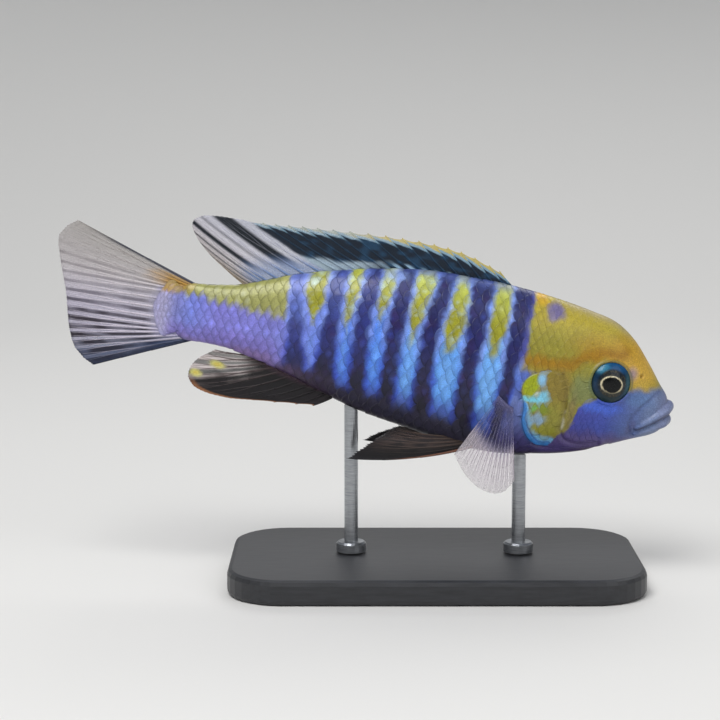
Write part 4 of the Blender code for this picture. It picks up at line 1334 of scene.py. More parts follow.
def build_scales(name, side, zone, seed):
    """All scales of one zone on one side."""
    root_u, root_g, row, length, seen, up, down = scales_of(zone, side)
    draw = np.random.default_rng(seed)
    longer, wider, skew, *chances = draw.normal(0, 1, (6, len(root_u)))
    length = length * (1 + 0.03 * longer)
    width = ROW_SHARE * row_pitch(seen[:, 0]) * (1 + 0.03 * wider)
    t = LOCAL_T[None]
    q = LOCAL_Q[None] + 0.03 * each(skew) * t
    u = each(root_u) + each(length) * t * REAR
    upward, downward = np.minimum(width, up - root_g), np.minimum(width, root_g - down)
    room = np.where(q > 0, each(upward), each(downward))
    lean = row_pitch(u) / each(row_pitch(root_u))
    s, turn = on_flank(u, each(root_g) * lean + q * room * widening(t), side)
    base, out = body(s, turn), normal_at(s, turn)
    if zone == HEAD:
        base = relief(base.reshape(-1, 3), out.reshape(-1, 3)).reshape(base.shape)
    pore = pores(t, q, row, seen[:, 0])
    bold = 0.2 + 0.8 * rise(seen[:, 0], 15.0, 30.0) if zone == FLANK else np.full(len(row), 0.35)
    bold = each(bold)
    fade = each(0.045 * fall(seen[:, 0], 14.5, 21.0)) * (zone == FLANK)
    thin = each(np.minimum(1.0, length / 2.4))
    lift = rooted(t) - fade + 0.06 * pore
    lift = lift + (0.15 * t**1.4 + domed(t, q, 0.035)) * thin * bold
    lift = lift - worn(t, q) * bold
    colours = scale_colours(base, seen, t, q, pore, chances, bold)
    place = skin_place(*on_flank(root_u, root_g, side))
    piece = join_plates(name, side, base, out, lift, colours, place)


for side, side_name in ((-1, "right"), (1, "left")):
    build_scales(f"flank_scales_{side_name}", side, FLANK, 5 + side)
    build_scales(f"head_scales_{side_name}", side, HEAD, 9 + side)

# %% [markdown]
# ## Scales over the root of the tail fin
# Scales don't stop where the flesh does: a few rows, each smaller than the one before, run out over
# the first part of the rays. They could be painted on the fin. Here they are solid plates as on the
# flank, set out on rings around the place where the tail's rays would meet.

# %% Scales of the tail's root
RAY_CENTRE = (73.5, 0.1)
SPOKE_ANGLE = 0.115
FIRST_RING = 7.0
RINGS = 5
SPOKES = range(-3, 4)
FIN_HALF = 0.28
BONE_HALF = 0.47


def build_root_scales(name, side, seed):
    """The short rows on one side of the tail fin's root."""
    ring, spoke = (n.ravel() for n in np.meshgrid(np.arange(RINGS), SPOKES, indexing="ij"))
    ring = ring + 0.5 * (spoke % 2)
    kept = ring < 4.3 - 0.45 * np.abs(spoke)
    ring, spoke = ring[kept], spoke[kept]
    draw = np.random.default_rng(seed)
    longer, wider, _, *chances = draw.normal(0, 1, (6, len(ring)))
    root = FIRST_RING + ring - 0.05 * ring**2
    length = 1.9 * (1 - 0.1 * ring) * (1 + 0.03 * longer)
    t, q = LOCAL_T[None], LOCAL_Q[None]
    away = each(root) + each(length) * t * REAR
    angle = SPOKE_ANGLE * (each(spoke) + q * (ROW_SHARE * each(1 + 0.03 * wider) * widening(t)))
    u = RAY_CENTRE[0] + away * np.cos(angle)
    h = RAY_CENTRE[1] + away * np.sin(angle)
    bone = BONE_HALF * fall(u, 81.2, 84.2) * np.sqrt(np.maximum(1 - (h / 3.7) ** 2, 0))
    lift = rooted(t) + 0.10 * t**1.4 + domed(t, q, 0.03)
    lift = lift - worn(t, q) - 0.08 * rise(u, 82.5, 85.0)
    base = np.stack([u, side * (FIN_HALF + bone), h], -1)
    seen = base[:, ALONG - 3, WIDE // 2]
    colours = scale_colours(base, seen, t, q, 0 * u, chances, np.full((len(ring), 1, 1), 0.8))
    own = paint(base)
    fin_tone = over(plain(u, "#A09CBE"), "#B4924C", 0.9 * rise(h, 2.2, 3.2))
    faded = blend(own, fin_tone, 0.95 * rise(u, 81.0, 83.3))
    colours = colours * (faded / np.maximum(own, 0.02)).reshape(colours.shape)
    place = skin_place(*on_flank(u[:, 0, WIDE // 2] - 2.2, h[:, 0, WIDE // 2], side))
    out = np.array([0.0, side, 0.0])
    join_plates(name, side, base, out, lift, colours, place)


for side, side_name in ((-1, "right"), (1, "left")):
    build_root_scales(f"tail_root_scales_{side_name}", side, 15 + side)

# %% [markdown]
# ## The painted iris
# A mounted fish gets glass eyes: a clear dome over a painted iris. The iris is painted by the
# distance from the pupil: black, a thin gold ring, grey, then deep blue with lighter patches. The
# gold ring has a painted highlight above and painted shade below, and the blue rim a painted
# highlight at its upper front and painted shade below. A clear shell over a separate iris would be
# truer, but eyes as small as these read the same from one glossy painted dome.

# %% Paint the iris
PUPIL_SHIFT = (-0.10, -0.22)
PUPIL_NARROW = 1.30
IRIS_RUN = [(1.5, "#6E6A58"), (1.66, "#D2C6A2"), (1.78, "#B4A888"), (1.88, "#20282C"),
            (2.3, "#121C26")]
RIM_RUN = [(2.2, "#10202E"), (2.7, "#12304C"), (3.1, "#0E2836"), (3.4, "#162A26")]
RIM_PATCHES_AND_PAINTED_LIGHT = [
    # colour, strength, place, half size, softness
    ("#164A78", 0.9, (0.3, 2.7), (2.6, 0.9), 0.6),
    # a painted highlight at the rim's upper front
    ("#3E86A4", 0.8, (-2.0, 2.2), (1.1, 0.9), 0.6),
    ("#2E545A", 0.7, (3.0, 0.4), (0.9, 2.2), 0.6),
    # painted shade on the lower rim
    ("#243434", 0.8, (0.0, -2.9), (2.6, 1.1), 0.6),
]


def eye_paint(back, up, reach, turn):
    """The eye's colour, back and up from its middle, with painted highlights and painted shade."""
    r = np.hypot(back - PUPIL_SHIFT[0], (up - PUPIL_SHIFT[1]) * PUPIL_NARROW)
    away = np.hypot(back, up)
    fleck = cloud(np.stack([np.cos(turn), np.sin(turn), reach], -1) * 2.0, 0.16, 51)
    iris = strokes(
        ramp(r, IRIS_RUN),
        # a painted highlight on the gold ring, fading out at the bottom
        ("#F0E6C8", 0.7 * fall(np.abs(r - 1.72), 0.0, 0.09) * rise(up, -1.6, -0.6)),
        # painted shade over the lower part of the gold ring
        ("#3C3C34", 0.6 * rise(r, 1.5, 1.6) * fall(up, -1.6, -0.9)),
        ("#5C5236", 0.5 * rise(fleck, 0.0, 0.6) * rise(r, 1.9, 2.0)),
    )
    outer = dabs(ramp(away, RIM_RUN), back, up, RIM_PATCHES_AND_PAINTED_LIGHT)
    colour = blend(iris, outer, rise(away, 2.05, 2.4)) * (1 + 0.25 * fleck)[..., None]
    return over(colour, "#020406", fall(r, 1.56, 1.62))


print("gold ring:", eye_paint(*np.array([[1.6], [0.0], [1.6], [0.0]])).round(3))

# %% [markdown]
# ## The eyes
# Each eye is one polar grid, set along the axis found above and sunk into its socket, so that its
# rim disappears under the skin. A ready-made ball would waste half its points inside the head.

# %% Build the eyes
EYE_RINGS = 46
EYE_SPOKES = 96
EYE_GLASS = speckled("eye_glass", 9000, 0.0, 0.30, 0.0, 0.35, 0.06, 0.03, 0.08)


def build_eye(name, side):
    """One glass eye: a dome with a little bulge over the pupil, closed behind."""
    surface, out = eye_axis(side)
    middle = surface + out * (EYE_PROUD - EYE_THICKNESS)
    up_way = np.array([0.0, 0.0, 1.0]) - out[2] * out
    up_way /= np.linalg.norm(up_way)
    back_way = np.cross(up_way, out) * side
    polar = math.pi * np.concatenate([np.linspace(0, 0.62, EYE_RINGS), np.linspace(0.68, 0.97, 6)])
    spokes = 2 * math.pi * np.arange(EYE_SPOKES) / EYE_SPOKES
    tip, turn = np.meshgrid(polar, spokes, indexing="ij")
    reach = EYE_RADIUS * np.sin(tip)
    back, up = reach * np.cos(turn), reach * np.sin(turn)
    forward = EYE_THICKNESS * np.cos(tip) + 0.25 * fall(reach, 0.6, 2.5) * (tip < 1.5)
    points = middle + out * forward[..., None] + back_way * back[..., None] + up_way * up[..., None]
    colours = eye_paint(back, up, reach, turn)
    faces = ring_faces(len(polar), EYE_SPOKES, flip=True)
    faces.append(tuple(range(len(polar) * EYE_SPOKES - 1, (len(polar) - 1) * EYE_SPOKES - 1, -1)))
    if side > 0:
        faces = [face[::-1] for face in faces]
    piece = smooth_piece(name, points.reshape(-1, 3), faces, colours.reshape(-1, 3), EYE_GLASS)
    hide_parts(name.replace("glass_", ""))


build_eye("glass_eye_left", 1)
build_eye("glass_eye_right", -1)

# %% [markdown]
# ## The sheet of a fin
# A fin is a double sheet of skin stretched over bony rays. A plane with a picture of rays would do
# from afar. Here the sheet is thin and partly clear, runs from its root to a measured edge, and is
# bowed and waved a little, as fins at work are. q runs along the root and v out from it.

# %% Sheets
LEFTWARDS = (0.0, 1.0, 0.0)
SHEET_HALF = 0.045
GAP_COLUMNS = 8
SHEET_ROWS = 30


def fin_surface(root, margin, bow, wave, shares=((0, 1), (0, 1))):
    """A function that gives the place on the fin q along its root and v out from it."""
    def at(q, v):
        q = np.interp(q, *shares)
        a = curve(root, q * (len(root) - 1))
        way = curve(margin, q * (len(margin) - 1)) - a
        bend = np.cross(way, LEFTWARDS) * (bow * 4 * v * (1 - v))[..., None]
        ripple = (wave * np.maximum(v, 0) ** 2 * np.sin(3 * math.pi * q))[..., None]
        return a + way * v[..., None] + bend + ripple * np.array(LEFTWARDS)
    return at


def fin_reach(surface, q, rays, spines, lobes, frayed, corner):
    """The fin's length at each q, and the share of it that the notched sheet fills."""
    x = q * (rays - 1)
    length = np.linalg.norm(surface(q, 1 + 0 * q) - surface(q, 0 * q), axis=1)
    between = np.sin(math.pi * (x % 1)) ** 0.7
    ragged = frayed * (0.8 + np.abs(np.sin(4 * math.pi * x)) + 0.6 * between)
    notch = np.where(x < spines, lobes * between, ragged)
    notch = notch + corner * (fall(q, 0, 0.06) + fall(1 - q, 0, 0.06))
    return length, 1 - notch / length


def two_sides(sheet, v):
    """Points of both faces of a sheet that thins out towards its edge."""
    out = np.cross(np.gradient(sheet, axis=0), np.gradient(sheet, axis=1))
    out /= np.linalg.norm(out, axis=2)[..., None] + 1e-12
    off = out * (SHEET_HALF * (1.6 - 0.9 * v))[..., None]
    return [(sheet + off).reshape(-1, 3), (sheet - off).reshape(-1, 3)]


print("sheet at its root and at its edge, mm thick:", 2 * SHEET_HALF * 1.6, 2 * SHEET_HALF * 0.7)

# %% [markdown]
# ## The rays of a fin
# Spines are single stiff rods. Soft rays are split in two, and in two again, towards the free edge.
# Straight rods from root to edge would look like a comb. Each ray here is a tapered rod that really
# branches, so that the fins keep their depth against the light.

# %% Rays
ROD_SIDES = 6
FIRST_SPLIT = 0.20
SECOND_SPLIT = 0.13


def rod_parts(path, radii):
    """Points and faces of a tapered rod along a path, closed at both ends."""
    way = np.gradient(path, axis=0)
    way /= np.linalg.norm(way, axis=1)[:, None] + 1e-12
    wide = np.cross(way, LEFTWARDS)
    wide /= np.linalg.norm(wide, axis=1)[:, None] + 1e-12
    deep = np.cross(wide, way)
    turns = (2 * math.pi * np.arange(ROD_SIDES) / ROD_SIDES)[None, :, None]
    rings = wide[:, None] * np.cos(turns) + deep[:, None] * np.sin(turns)
    rings = path[:, None] + radii[:, None, None] * rings
    last = (len(path) - 1) * ROD_SIDES
    faces = [tuple(range(ROD_SIDES))[::-1]] + ring_faces(len(path), ROD_SIDES, flip=True)
    faces.append(tuple(range(last, last + ROD_SIDES)))
    return rings.reshape(-1, 3), faces


def fin_paths(rays, spines):
    """The rods of all rays, each as q, v and its share of the radius, step by step."""
    gap = 1 / (rays - 1)
    for ray in range(rays):
        q0 = ray * gap
        if ray < spines:
            v = np.linspace(0.0, 1.0, 24)
            yield q0 + 0 * v, v, 1.15 - 0.85 * v
            continue
        ends = (0, 1) if ray == 0 else (-1, 0) if ray == rays - 1 else (-1, 1)
        v = np.linspace(0.0, 0.42, 16)
        yield q0 + 0 * v, v, 1 - 0.9 * v
        for side in (-1, 1):
            v = np.linspace(0.40, 0.72, 12)
            shift = side * (FIRST_SPLIT * rise(v, 0.40, 0.75))
            yield q0 + gap * np.clip(shift, *ends), v, 0.62 - 0.35 * v
            for turn in (-1, 1):
                v = np.linspace(0.70, 0.985, 12)
                shift = side * FIRST_SPLIT * rise(v, 0.40, 0.75)
                shift = shift + turn * SECOND_SPLIT * rise(v, 0.70, 1.0)
                yield q0 + gap * np.clip(shift, *ends), v, 0.50 - 0.34 * v


print("rods in a fin of 11 rays with 3 spines:", len(list(fin_paths(11, 3))))

# %% [markdown]
# ## One builder for all fins
# The seven fins differ in outline, rays and colour, and agree in all else. They could be seven
# scripts. One builder makes the sheet, notches it between the spines, lays the rays in it and asks
# the fin's own painter for the colours of both.

# %% Build one fin
FIN_SKIN = speckled("fin_skin", 4200, 0.35, 0.50, 0.0, 0.10, 0.14, clear=True)
SPINE_TIP = 0.12


def build_fin(name, node_name, surface, rays, painter, rod, spines=0, lobes=0.0, frayed=0.12,
              corner=0.0):
    """One fin: its sheet and its rays, painted and joined."""
    columns = (rays - 1) * GAP_COLUMNS + 1
    along, outward = np.linspace(0, 1, columns), np.linspace(0, 1, SHEET_ROWS)
    q, v = np.meshgrid(along, outward, indexing="ij")
    length, reach = fin_reach(surface, along, rays, spines, lobes, frayed, corner)
    sheet = surface(q, v * reach[:, None])
    points, faces = two_sides(sheet, v), closed_sheet(columns, SHEET_ROWS)
    rgb, alpha = painter(sheet, q, v, q * (rays - 1), False)
    colours, alphas = [rgb.reshape(-1, 3)] * 2, [alpha.ravel()] * 2
    start = 2 * columns * SHEET_ROWS
    for rod_q, rod_v, share in fin_paths(rays, spines):
        x = rod_q * (rays - 1)
        tip = 1 + SPINE_TIP / np.interp(rod_q, along, length)
        end = np.where(x < spines - 0.5, tip, np.interp(rod_q, along, reach))
        path = surface(rod_q, rod_v * end)
        made, rod_faces = rod_parts(path, rod * share)
        points.append(made)
        faces += [tuple(start + n for n in face) for face in rod_faces]
        start += len(made)
        rgb, alpha = painter(path, rod_q, rod_v, x, True)
        colours.append(np.repeat(rgb, ROD_SIDES, axis=0))
        alphas.append(np.repeat(alpha, ROD_SIDES))
    piece = smooth_piece(name, np.concatenate(points), faces, np.concatenate(colours), FIN_SKIN,
                         alpha=np.concatenate(alphas))
    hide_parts(node_name)


def along_body(columns, top, raised):
    """A fin's root along the back or the belly, raised or sunk from it."""
    c = 0 if top else 2
    row = curve(STATIONS, np.interp(columns, STATIONS[:, c], np.arange(LAST + 1)))
    return [(u, 0.0, h + raised) for u, h in row[:, c:c + 2]]


def flat_edge(*places):
    """A fin's free edge in the fish's middle plane."""
    return [(u, 0.0, h) for u, h in places]


print("finish of the fins:", FIN_SKIN.name)

# %% [markdown]
# ## The dorsal fin
# Its front is a teal-black band on spines, with a pale and yellow edge above and pale streaks at
# its foot. Its rear is pale rays with dark skin between them and two dark bars. Two paintings
# blended at the seventeenth ray are easier to follow than one. x counts the rays.

# %% Paint and build the dorsal fin
DORSAL_TOP = ((28, 14.6), (32, 15.5), (38, 17.0), (45, 17.4), (50, 17.3), (58, 16.7), (64, 16.2),
              (71, 16.0))
DORSAL_FOOT = ((28, 9.0), (34, 13.4), (38, 14.3), (44, 14.5), (50, 14.2), (54, 13.4), (58, 12.8),
               (66, 12.4), (72, 12.0))
CREAM_RUN = [(16.0, "#B9BDCC"), (19.0, "#C4C3D0"), (22.0, "#BDB5B8"), (25.0, "#9A8A74")]


def gap_place(x):
    """0 on a ray, 1 midway between two."""
    return np.abs(np.sin(math.pi * x))


def wisps(points, size, seed, shrink=0.5):
    """Clouds drawn out along the fish."""
    return cloud(points * np.array([shrink, 1, 1.0]), size, seed)


def ray_stripe(x, at, half, soft):
    """1 on a stripe that runs out along the rays."""
    return fall(np.abs(x - at) / half, 1 - soft, 1 + soft)


def spiny_dorsal(u, h, x, wisp, spiny):
    """Colour and alpha of the front."""
    frac = x % 1
    above = h - follow(u, DORSAL_TOP) - 0.6 * (frac - 0.5) - 0.12 * wisp
    pale = rise(above, -0.10, 0.12) * spiny
    edge = rise(above, 0.45, 0.60) * spiny
    low = follow(u, DORSAL_FOOT)
    foot = fall(h + 0.3 * wisp, low - 0.35, low + 0.35) * rise(u, 34, 37)
    streak = rise(frac, 0.30, 0.5) * fall(frac, 0.75, 0.95)
    colour = strokes(
        plain(u, "#081828"),
        ("#1A4464", 0.6 * rise(wisp, 0.0, 0.7) + 0.25 * fall(gap_place(x), 0.1, 0.35)),
        ("#7FA2B8", pale),
        ("#C4B468", edge * fall(u, 50, 62)),
        ("#A9AFA4", edge * rise(u, 50, 62)),
        ("#A0B4C4", foot * rise(u, 48, 54) * 0.95),
        ("#A4C8E4", foot * streak * (0.95 - 0.90 * rise(u, 46, 52))),
    )
    return colour, 0.97 - (0.20 + 0.30 * rise(u, 36, 56)) * pale - 0.25 * foot * rise(u, 46, 54)


def soft_dorsal(v, x, on_ray):
    """Colour and alpha of the rear."""
    bars = ray_stripe(x, 18.0, 0.55, 0.3) + ray_stripe(x, 20.4, 0.28, 0.5)
    bars = bars + 0.5 * ray_stripe(x, 19.3, 0.16, 0.5)
    lines = rise(gap_place(x), 0.80, 0.97) * rise(x, 20.9, 21.1)
    dark = bars * rise(v, 0.08, 0.36) * (0.85 if on_ray else 1) + lines * (0.35 if on_ray else 0.85)
    dark = np.clip(dark, 0, 1)
    colour = strokes(
        ramp(x, CREAM_RUN),
        ("#0C1622", dark),
        ("#6080B4", 0.85 * fall(v, 0.10, 0.45) * fall(x, 21, 24)),
    )
    alpha = 0.46 + 0.45 * dark + (0.35 if on_ray else 0.0) - 0.12 * rise(x, 20, 22)
    return colour, np.clip(alpha, 0, 0.97)


def dorsal_paint(points, q, v, x, on_ray):
    """Front and rear, blended."""
    u, _, h = np.moveaxis(points, -1, 0)
    wisp = wisps(points, 0.7, 61)
    spiny = fall(x + 0.1 * wisp, 16.45, 16.75)
    front, front_alpha = spiny_dorsal(u, h, x, wisp, spiny)
    rear, rear_alpha = soft_dorsal(v, x, on_ray)
    alpha = front_alpha + (rear_alpha - front_alpha) * (1 - spiny)
    if on_ray:
        alpha = np.maximum(alpha, 0.85 * spiny)
    return blend(front, rear, 1 - spiny), np.clip(alpha, 0, 1)


DORSAL_ROOT = (28.6, 33.0, 38.0, 43.0, 48.0, 52.0, 56.0, 60.0, 63.5, 66.3, 68.2, 69.3, 70.2)
DORSAL_EDGE = flat_edge(
    (31.6, 16.3), (37.5, 18.0), (43.5, 18.5), (50.5, 18.3), (58.0, 17.7), (64.5, 17.1),
    (70.0, 16.5), (75.2, 16.4), (79.6, 15.9), (81.3, 14.4), (80.2, 12.2), (77.6, 9.9), (74.3, 7.9),
)
DORSAL = fin_surface(along_body(DORSAL_ROOT, True, -0.7), DORSAL_EDGE, -0.02, 0.35,
                     ((0, 0.64, 1), (0, 0.5, 1)))
build_fin("dorsal_fin_rays", "dorsal_fin", DORSAL, 26, dorsal_paint, 0.22, spines=17, lobes=0.40)

# %% [markdown]
# ## The anal fin
# It is black brown, clear between its rear rays, and carries two yellow egg spots, which males of
# this group show. The spots could be small discs laid on. They are ovals of paint instead, and the
# fin is opaque under them.

# %% Paint and build the anal fin
EGG_SPOTS = (((73.0, -7.3), (1.25, 0.62)), ((76.2, -9.3), (1.0, 0.62)))


def anal_paint(points, q, v, x, on_ray):
    """Dark in front, clear behind, with the egg spots over both."""
    u, _, h = np.moveaxis(points, -1, 0)
    wisp = wisps(points, 0.8, 62)
    clear = rise(q + 0.05 * wisp, 0.60, 0.82) * rise(v, 0.10, 0.40)
    web = 0.2 if on_ray else fall(gap_place(x), 0.55, 0.9)
    alpha = 0.97 - 0.48 * clear
    colour = strokes(
        ramp(q, [(0.0, "#1A141A"), (0.5, "#0F0C10"), (0.8, "#1C1618"), (1.0, "#4A3C38")]),
        ("#D8CAC8", 0.94 * clear * web),
        ("#A8714A", 0.85 * rise(v, 0.945, 0.975) * fall(q, 0.55, 0.75)),
        ("#6A4A60", 0.6 * fall(v, 0.0, 0.18)),
    )
    if on_ray:
        colour = over(colour, "#5A4A4A", 0.5 * rise(q, 0.3, 0.8))
        alpha = np.maximum(alpha, 0.9)
    for place, size in EGG_SPOTS:
        egg = spot(u + 0.15 * wisp, h - 0.1 * (u - place[0]), place, size)
        yolk = spot(u, h, place, (size[0] * 0.5, size[1] * 0.5), 0.6)
        colour = strokes(colour, ("#CDC878", 0.9 * egg), ("#CFB53C", 0.6 * yolk))
        alpha = np.maximum(alpha, 0.95 * egg)
    return colour, np.clip(alpha, 0, 1)


ANAL_ROOT = (53.3, 55.0, 57.0, 59.2, 61.4, 63.3, 65.0, 66.6)
ANAL_EDGE = flat_edge(
    (56.6, -10.7), (60.8, -11.2), (66.0, -11.8), (71.0, -12.3), (75.6, -11.8), (77.5, -10.0),
    (76.8, -7.4), (74.0, -5.0),
)
ANAL = fin_surface(along_body(ANAL_ROOT, False, 0.7), ANAL_EDGE, -0.03, 0.3)
build_fin("anal_fin_rays", "anal_fin", ANAL, 11, anal_paint, 0.24, spines=3, lobes=0.3)

# %% [markdown]
# ## The tail fin
# It is nearly clear, with pale rays, dark lines between the upper ones, blue and gold at its root
# and dark upper and lower edges. Its root is the rounded end of the tail bones, which a straight
# root line would cut. q runs from the upper edge round to the lower one.

# %% Paint and build the tail fin
WEB_RUN = [(0.0, "#AAA4A0"), (0.3, "#B4AEB2"), (0.55, "#ACA6BC"), (0.75, "#A5A1BA"),
           (0.9, "#68708C"), (1.0, "#28324C")]
RAY_RUN = [(0.0, "#A09A96"), (0.3, "#CCC4C8"), (0.55, "#D2CAD8"), (0.80, "#D0C8D8"),
           (0.90, "#ACA8BA"), (0.97, "#3C445C"), (1.0, "#28324C")]
LINE_RUN = [(0.0, "#6A605C"), (0.25, "#5A5058"), (0.5, "#403A48"), (0.75, "#2A242E"),
            (1.0, "#1A2036")]


def tail_lines(q, v, x, wisp):
    """The dark lines between the rays."""
    thin = np.interp(q, (0, 0.5, 1), (0.88, 0.72, 0.55))
    thin = thin - 0.25 * rise(v, 0.5, 1.0) * rise(q, 0.5, 0.7)
    line = rise(gap_place(x), thin, thin + 0.22) * rise(v, 0.06, 0.35)
    line = line * np.clip(0.9 + 0.5 * wisp, 0, 1)
    return line * (0.25 + 0.35 * rise(q, 0.14, 0.22) + 0.40 * rise(q, 0.40, 0.62))


def tail_paint(points, q, v, x, on_ray):
    """Rays or the web between them, then root and edges."""
    wisp = wisps(points, 0.7, 63, 0.4)
    line = 0 * q if on_ray else tail_lines(q, v, x, wisp)
    middle = rise(q, 0.24, 0.36) * fall(q, 0.78, 0.90)
    gold = fall(v + 0.05 * wisp, 0.16, 0.36) * rise(q, 0.02, 0.08) * fall(q, 0.16, 0.32)
    colour = strokes(
        blend(ramp(q, RAY_RUN if on_ray else WEB_RUN), ramp(q, LINE_RUN), line),
        ("#9290BE", 0.70 * fall(v + 0.06 * wisp, 0.06, 0.30) * middle),
        ("#7A82BE", 0.70 * fall(v + 0.04 * wisp, 0.0, 0.10) * middle),
        ("#B4882C", 0.92 * gold),
        ("#1C2F52", 0.85 * fall(v, 0.25, 0.55) * rise(q, 0.86, 0.93)),
        ("#141C34", 0.75 * rise(q, 0.965, 0.99)),
        ("#262C40", 0.9 * fall(q, 0.0, 0.045) * fall(v, 0.60, 0.95)),
    )
    alpha = 0.50 + 0.42 * line + 0.42 * fall(v, 0.0, 0.30) + 0.4 * rise(q, 0.84, 0.95)
    alpha = alpha + 0.4 * fall(q, 0.0, 0.03) * fall(v, 0.6, 0.9)
    if on_ray:
        alpha = np.maximum(alpha, 0.85 - 0.25 * rise(v, 0.6, 1.0))
    return colour, np.clip(alpha, 0, 0.98)


BONE_STEPS = np.array([LAST - 1.35, LAST - 1, LAST - 0.5, LAST])
BONE_ROWS = curve(STATIONS, BONE_STEPS)
BONE_RIM = [*BONE_ROWS[:, 0:2], (STALK_END[0], STALK_END[2]), *BONE_ROWS[::-1, 2:4]]
TAIL_ROOT = [(u - 0.9, 0.0, h * 0.9) for u, h in BONE_RIM]
TAIL_EDGE = [(u, 0.6 * math.sin(h / 4.0), h) for u, h in (
    (99.9, 11.1), (102.2, 8.0), (101.5, 4.6), (100.4, 1.8), (99.3, -0.9), (98.5, -3.9),
    (97.7, -6.7), (96.3, -9.4), (93.2, -11.7),
)]
TAIL = fin_surface(TAIL_ROOT, TAIL_EDGE, 0.0, 0.4)
build_fin("tail_fin_rays", "tail_fin", TAIL, 17, tail_paint, 0.24, corner=0.3)

# %% [markdown]
# ## The paired fins
# The breast fins are nearly clear and stand out behind the gill covers. The pelvic fins are black
# brown and hang below. A mirror modifier would make both sides the same. The fins of a swimming
# fish never are, so each side has its own edge and shares only the painter.

# %% Paint and build the paired fins
def pectoral_paint(points, q, v, x, on_ray):
    """Lilac at the root, hardly there in the middle, pale at the edge."""
    colour = ramp(v, [(0.0, "#5C6098"), (0.25, "#66689C"), (0.46, "#8480A4"), (0.62, "#C8BEC8"),
                      (1.0, "#D2CCD0")])
    alpha = 0.05 + 0.29 * rise(v, 0.42, 0.60) + 0.30 * fall(v, 0.0, 0.12) + 0 * q
    if on_ray:
        colour = over(colour, "#A79CB0", 0.30)
        alpha = alpha + 0.07 + 0.25 * rise(v, 0.40, 0.60)
    return colour, alpha


def pelvic_paint(points, q, v, x, on_ray):
    """Black brown, paler in front."""
    wisp = wisps(points, 0.6, 64)
    haze = rise(wisp, -0.1, 0.5) * fall(q, 0.5, 0.8) * rise(gap_place(x), 0.2, 0.7)
    colour = strokes(
        ramp(q, [(0.0, "#2C2324"), (0.4, "#1C1618"), (0.8, "#0D0B0E"), (1.0, "#0C090D")]),
        ("#5E4C46", 0.25 * haze),
        ("#8A5C46", 0.6 * rise(q, 0.975, 0.99) * fall(v, 0.5, 0.7)),
        ("#110D14", 0.7 * rise(v, 0.82, 1.0)),
    )
    alpha = 0.97 - 0.15 * fall(q, 0.2, 0.5) * rise(v, 0.5, 0.8)
    if on_ray:
        colour = over(colour, "#7A665C", 0.30 * fall(q, 0.5, 0.9))
        alpha = np.maximum(alpha, 0.97)
    return colour, alpha


PECTORALS = {
    # side: root u, h; edge u, y, h
    "right": (((28.3, -2.3), (27.5, -2.9), (26.7, -3.4), (25.9, -3.8)),
              ((33.6, 8.6, -12.7), (31.6, 9.2, -15.2), (29.3, 9.6, -16.8), (26.8, 9.8, -17.4),
               (24.8, 9.8, -16.9), (23.5, 9.6, -14.9))),
    "left": (((27.2, -1.8), (26.9, -2.8), (26.5, -3.8), (26.2, -4.7)),
             ((40.6, 9.8, -0.9), (40.6, 10.3, -4.0), (39.4, 10.6, -7.0), (37.2, 10.6, -9.5),
              (34.4, 10.3, -11.2), (31.6, 9.8, -12.0))),
}
PELVIC_ROOT = ((31.9, 2.2, -10.4), (31.2, 2.6, -11.0), (30.4, 2.9, -11.7))
PELVIC_EDGES = {
    "right": ((43.6, 4.2, -10.9), (45.9, 4.8, -12.6), (47.9, 5.6, -14.6), (50.2, 6.2, -17.0)),
    "left": ((42.6, 4.4, -11.9), (44.2, 5.2, -12.9), (46.0, 6.2, -14.2), (47.8, 6.8, -15.8)),
}
PROUD = 0.35


def on_side(places, side):
    """Places given for the left, taken to the side that is meant."""
    return [(u, side * y, h) for u, y, h in places]


for side_name, side in (("right", -1), ("left", 1)):
    line, edge = PECTORALS[side_name]
    root = on_side([(u, float(half_width(u, h)) + PROUD, h) for u, h in line], side)
    build_fin(f"pectoral_rays_{side_name}", f"pectoral_fin_{side_name}",
              fin_surface(root, on_side(edge, side), 0.0, 0.3), 13, pectoral_paint, 0.17)
for side_name, side in (("right", -1), ("left", 1)):
    root, edge = on_side(PELVIC_ROOT, side), on_side(PELVIC_EDGES[side_name], side)
    build_fin(f"pelvic_rays_{side_name}", f"pelvic_fin_{side_name}",
              fin_surface(root, edge, -0.045, 0.2), 6, pelvic_paint, 0.24, frayed=0.35)

# %% [markdown]
# ## The stand
# The stand is part of the CAD and keeps its shape: a flat board and two short rods. A plain grey
# would do, but a satin lacquer with a faint grain and a brushed steel with fine rings read as real
# things. Both are noise stretched along one way, once as colour and once as relief.

# %% Finish the stand
SCRATCH_DEPTH = 0.00005


def stretched(name, low, high, stretch, roughness, metal, bump):
    """A finish whose colour, gloss and relief follow a noise stretched along the object's axes."""
    material, tree, shader = blank(name)
    link = tree.links.new
    pull = node(tree, "ShaderNodeMapping")
    pull.inputs["Scale"].default_value = stretch
    link(node(tree, "ShaderNodeTexCoord").outputs["Object"], pull.inputs["Vector"])
    grain = noise(tree, pull.outputs["Vector"], 1.0, 5.0, 0.65)
    mix = node(tree, "ShaderNodeValToRGB")
    for stop, place, code in zip(mix.color_ramp.elements, (0.35, 0.65), (low, high)):
        stop.position = place
        stop.color = (*tint(code), 1)
    link(grain, mix.inputs["Fac"])
    link(mix.outputs["Color"], shader.inputs["Base Color"])
    link(spread(tree, grain, roughness - 0.08, roughness + 0.10), shader.inputs["Roughness"])
    roughen(tree, shader, grain, bump, SCRATCH_DEPTH)
    shader.inputs["Metallic"].default_value = metal
    return material


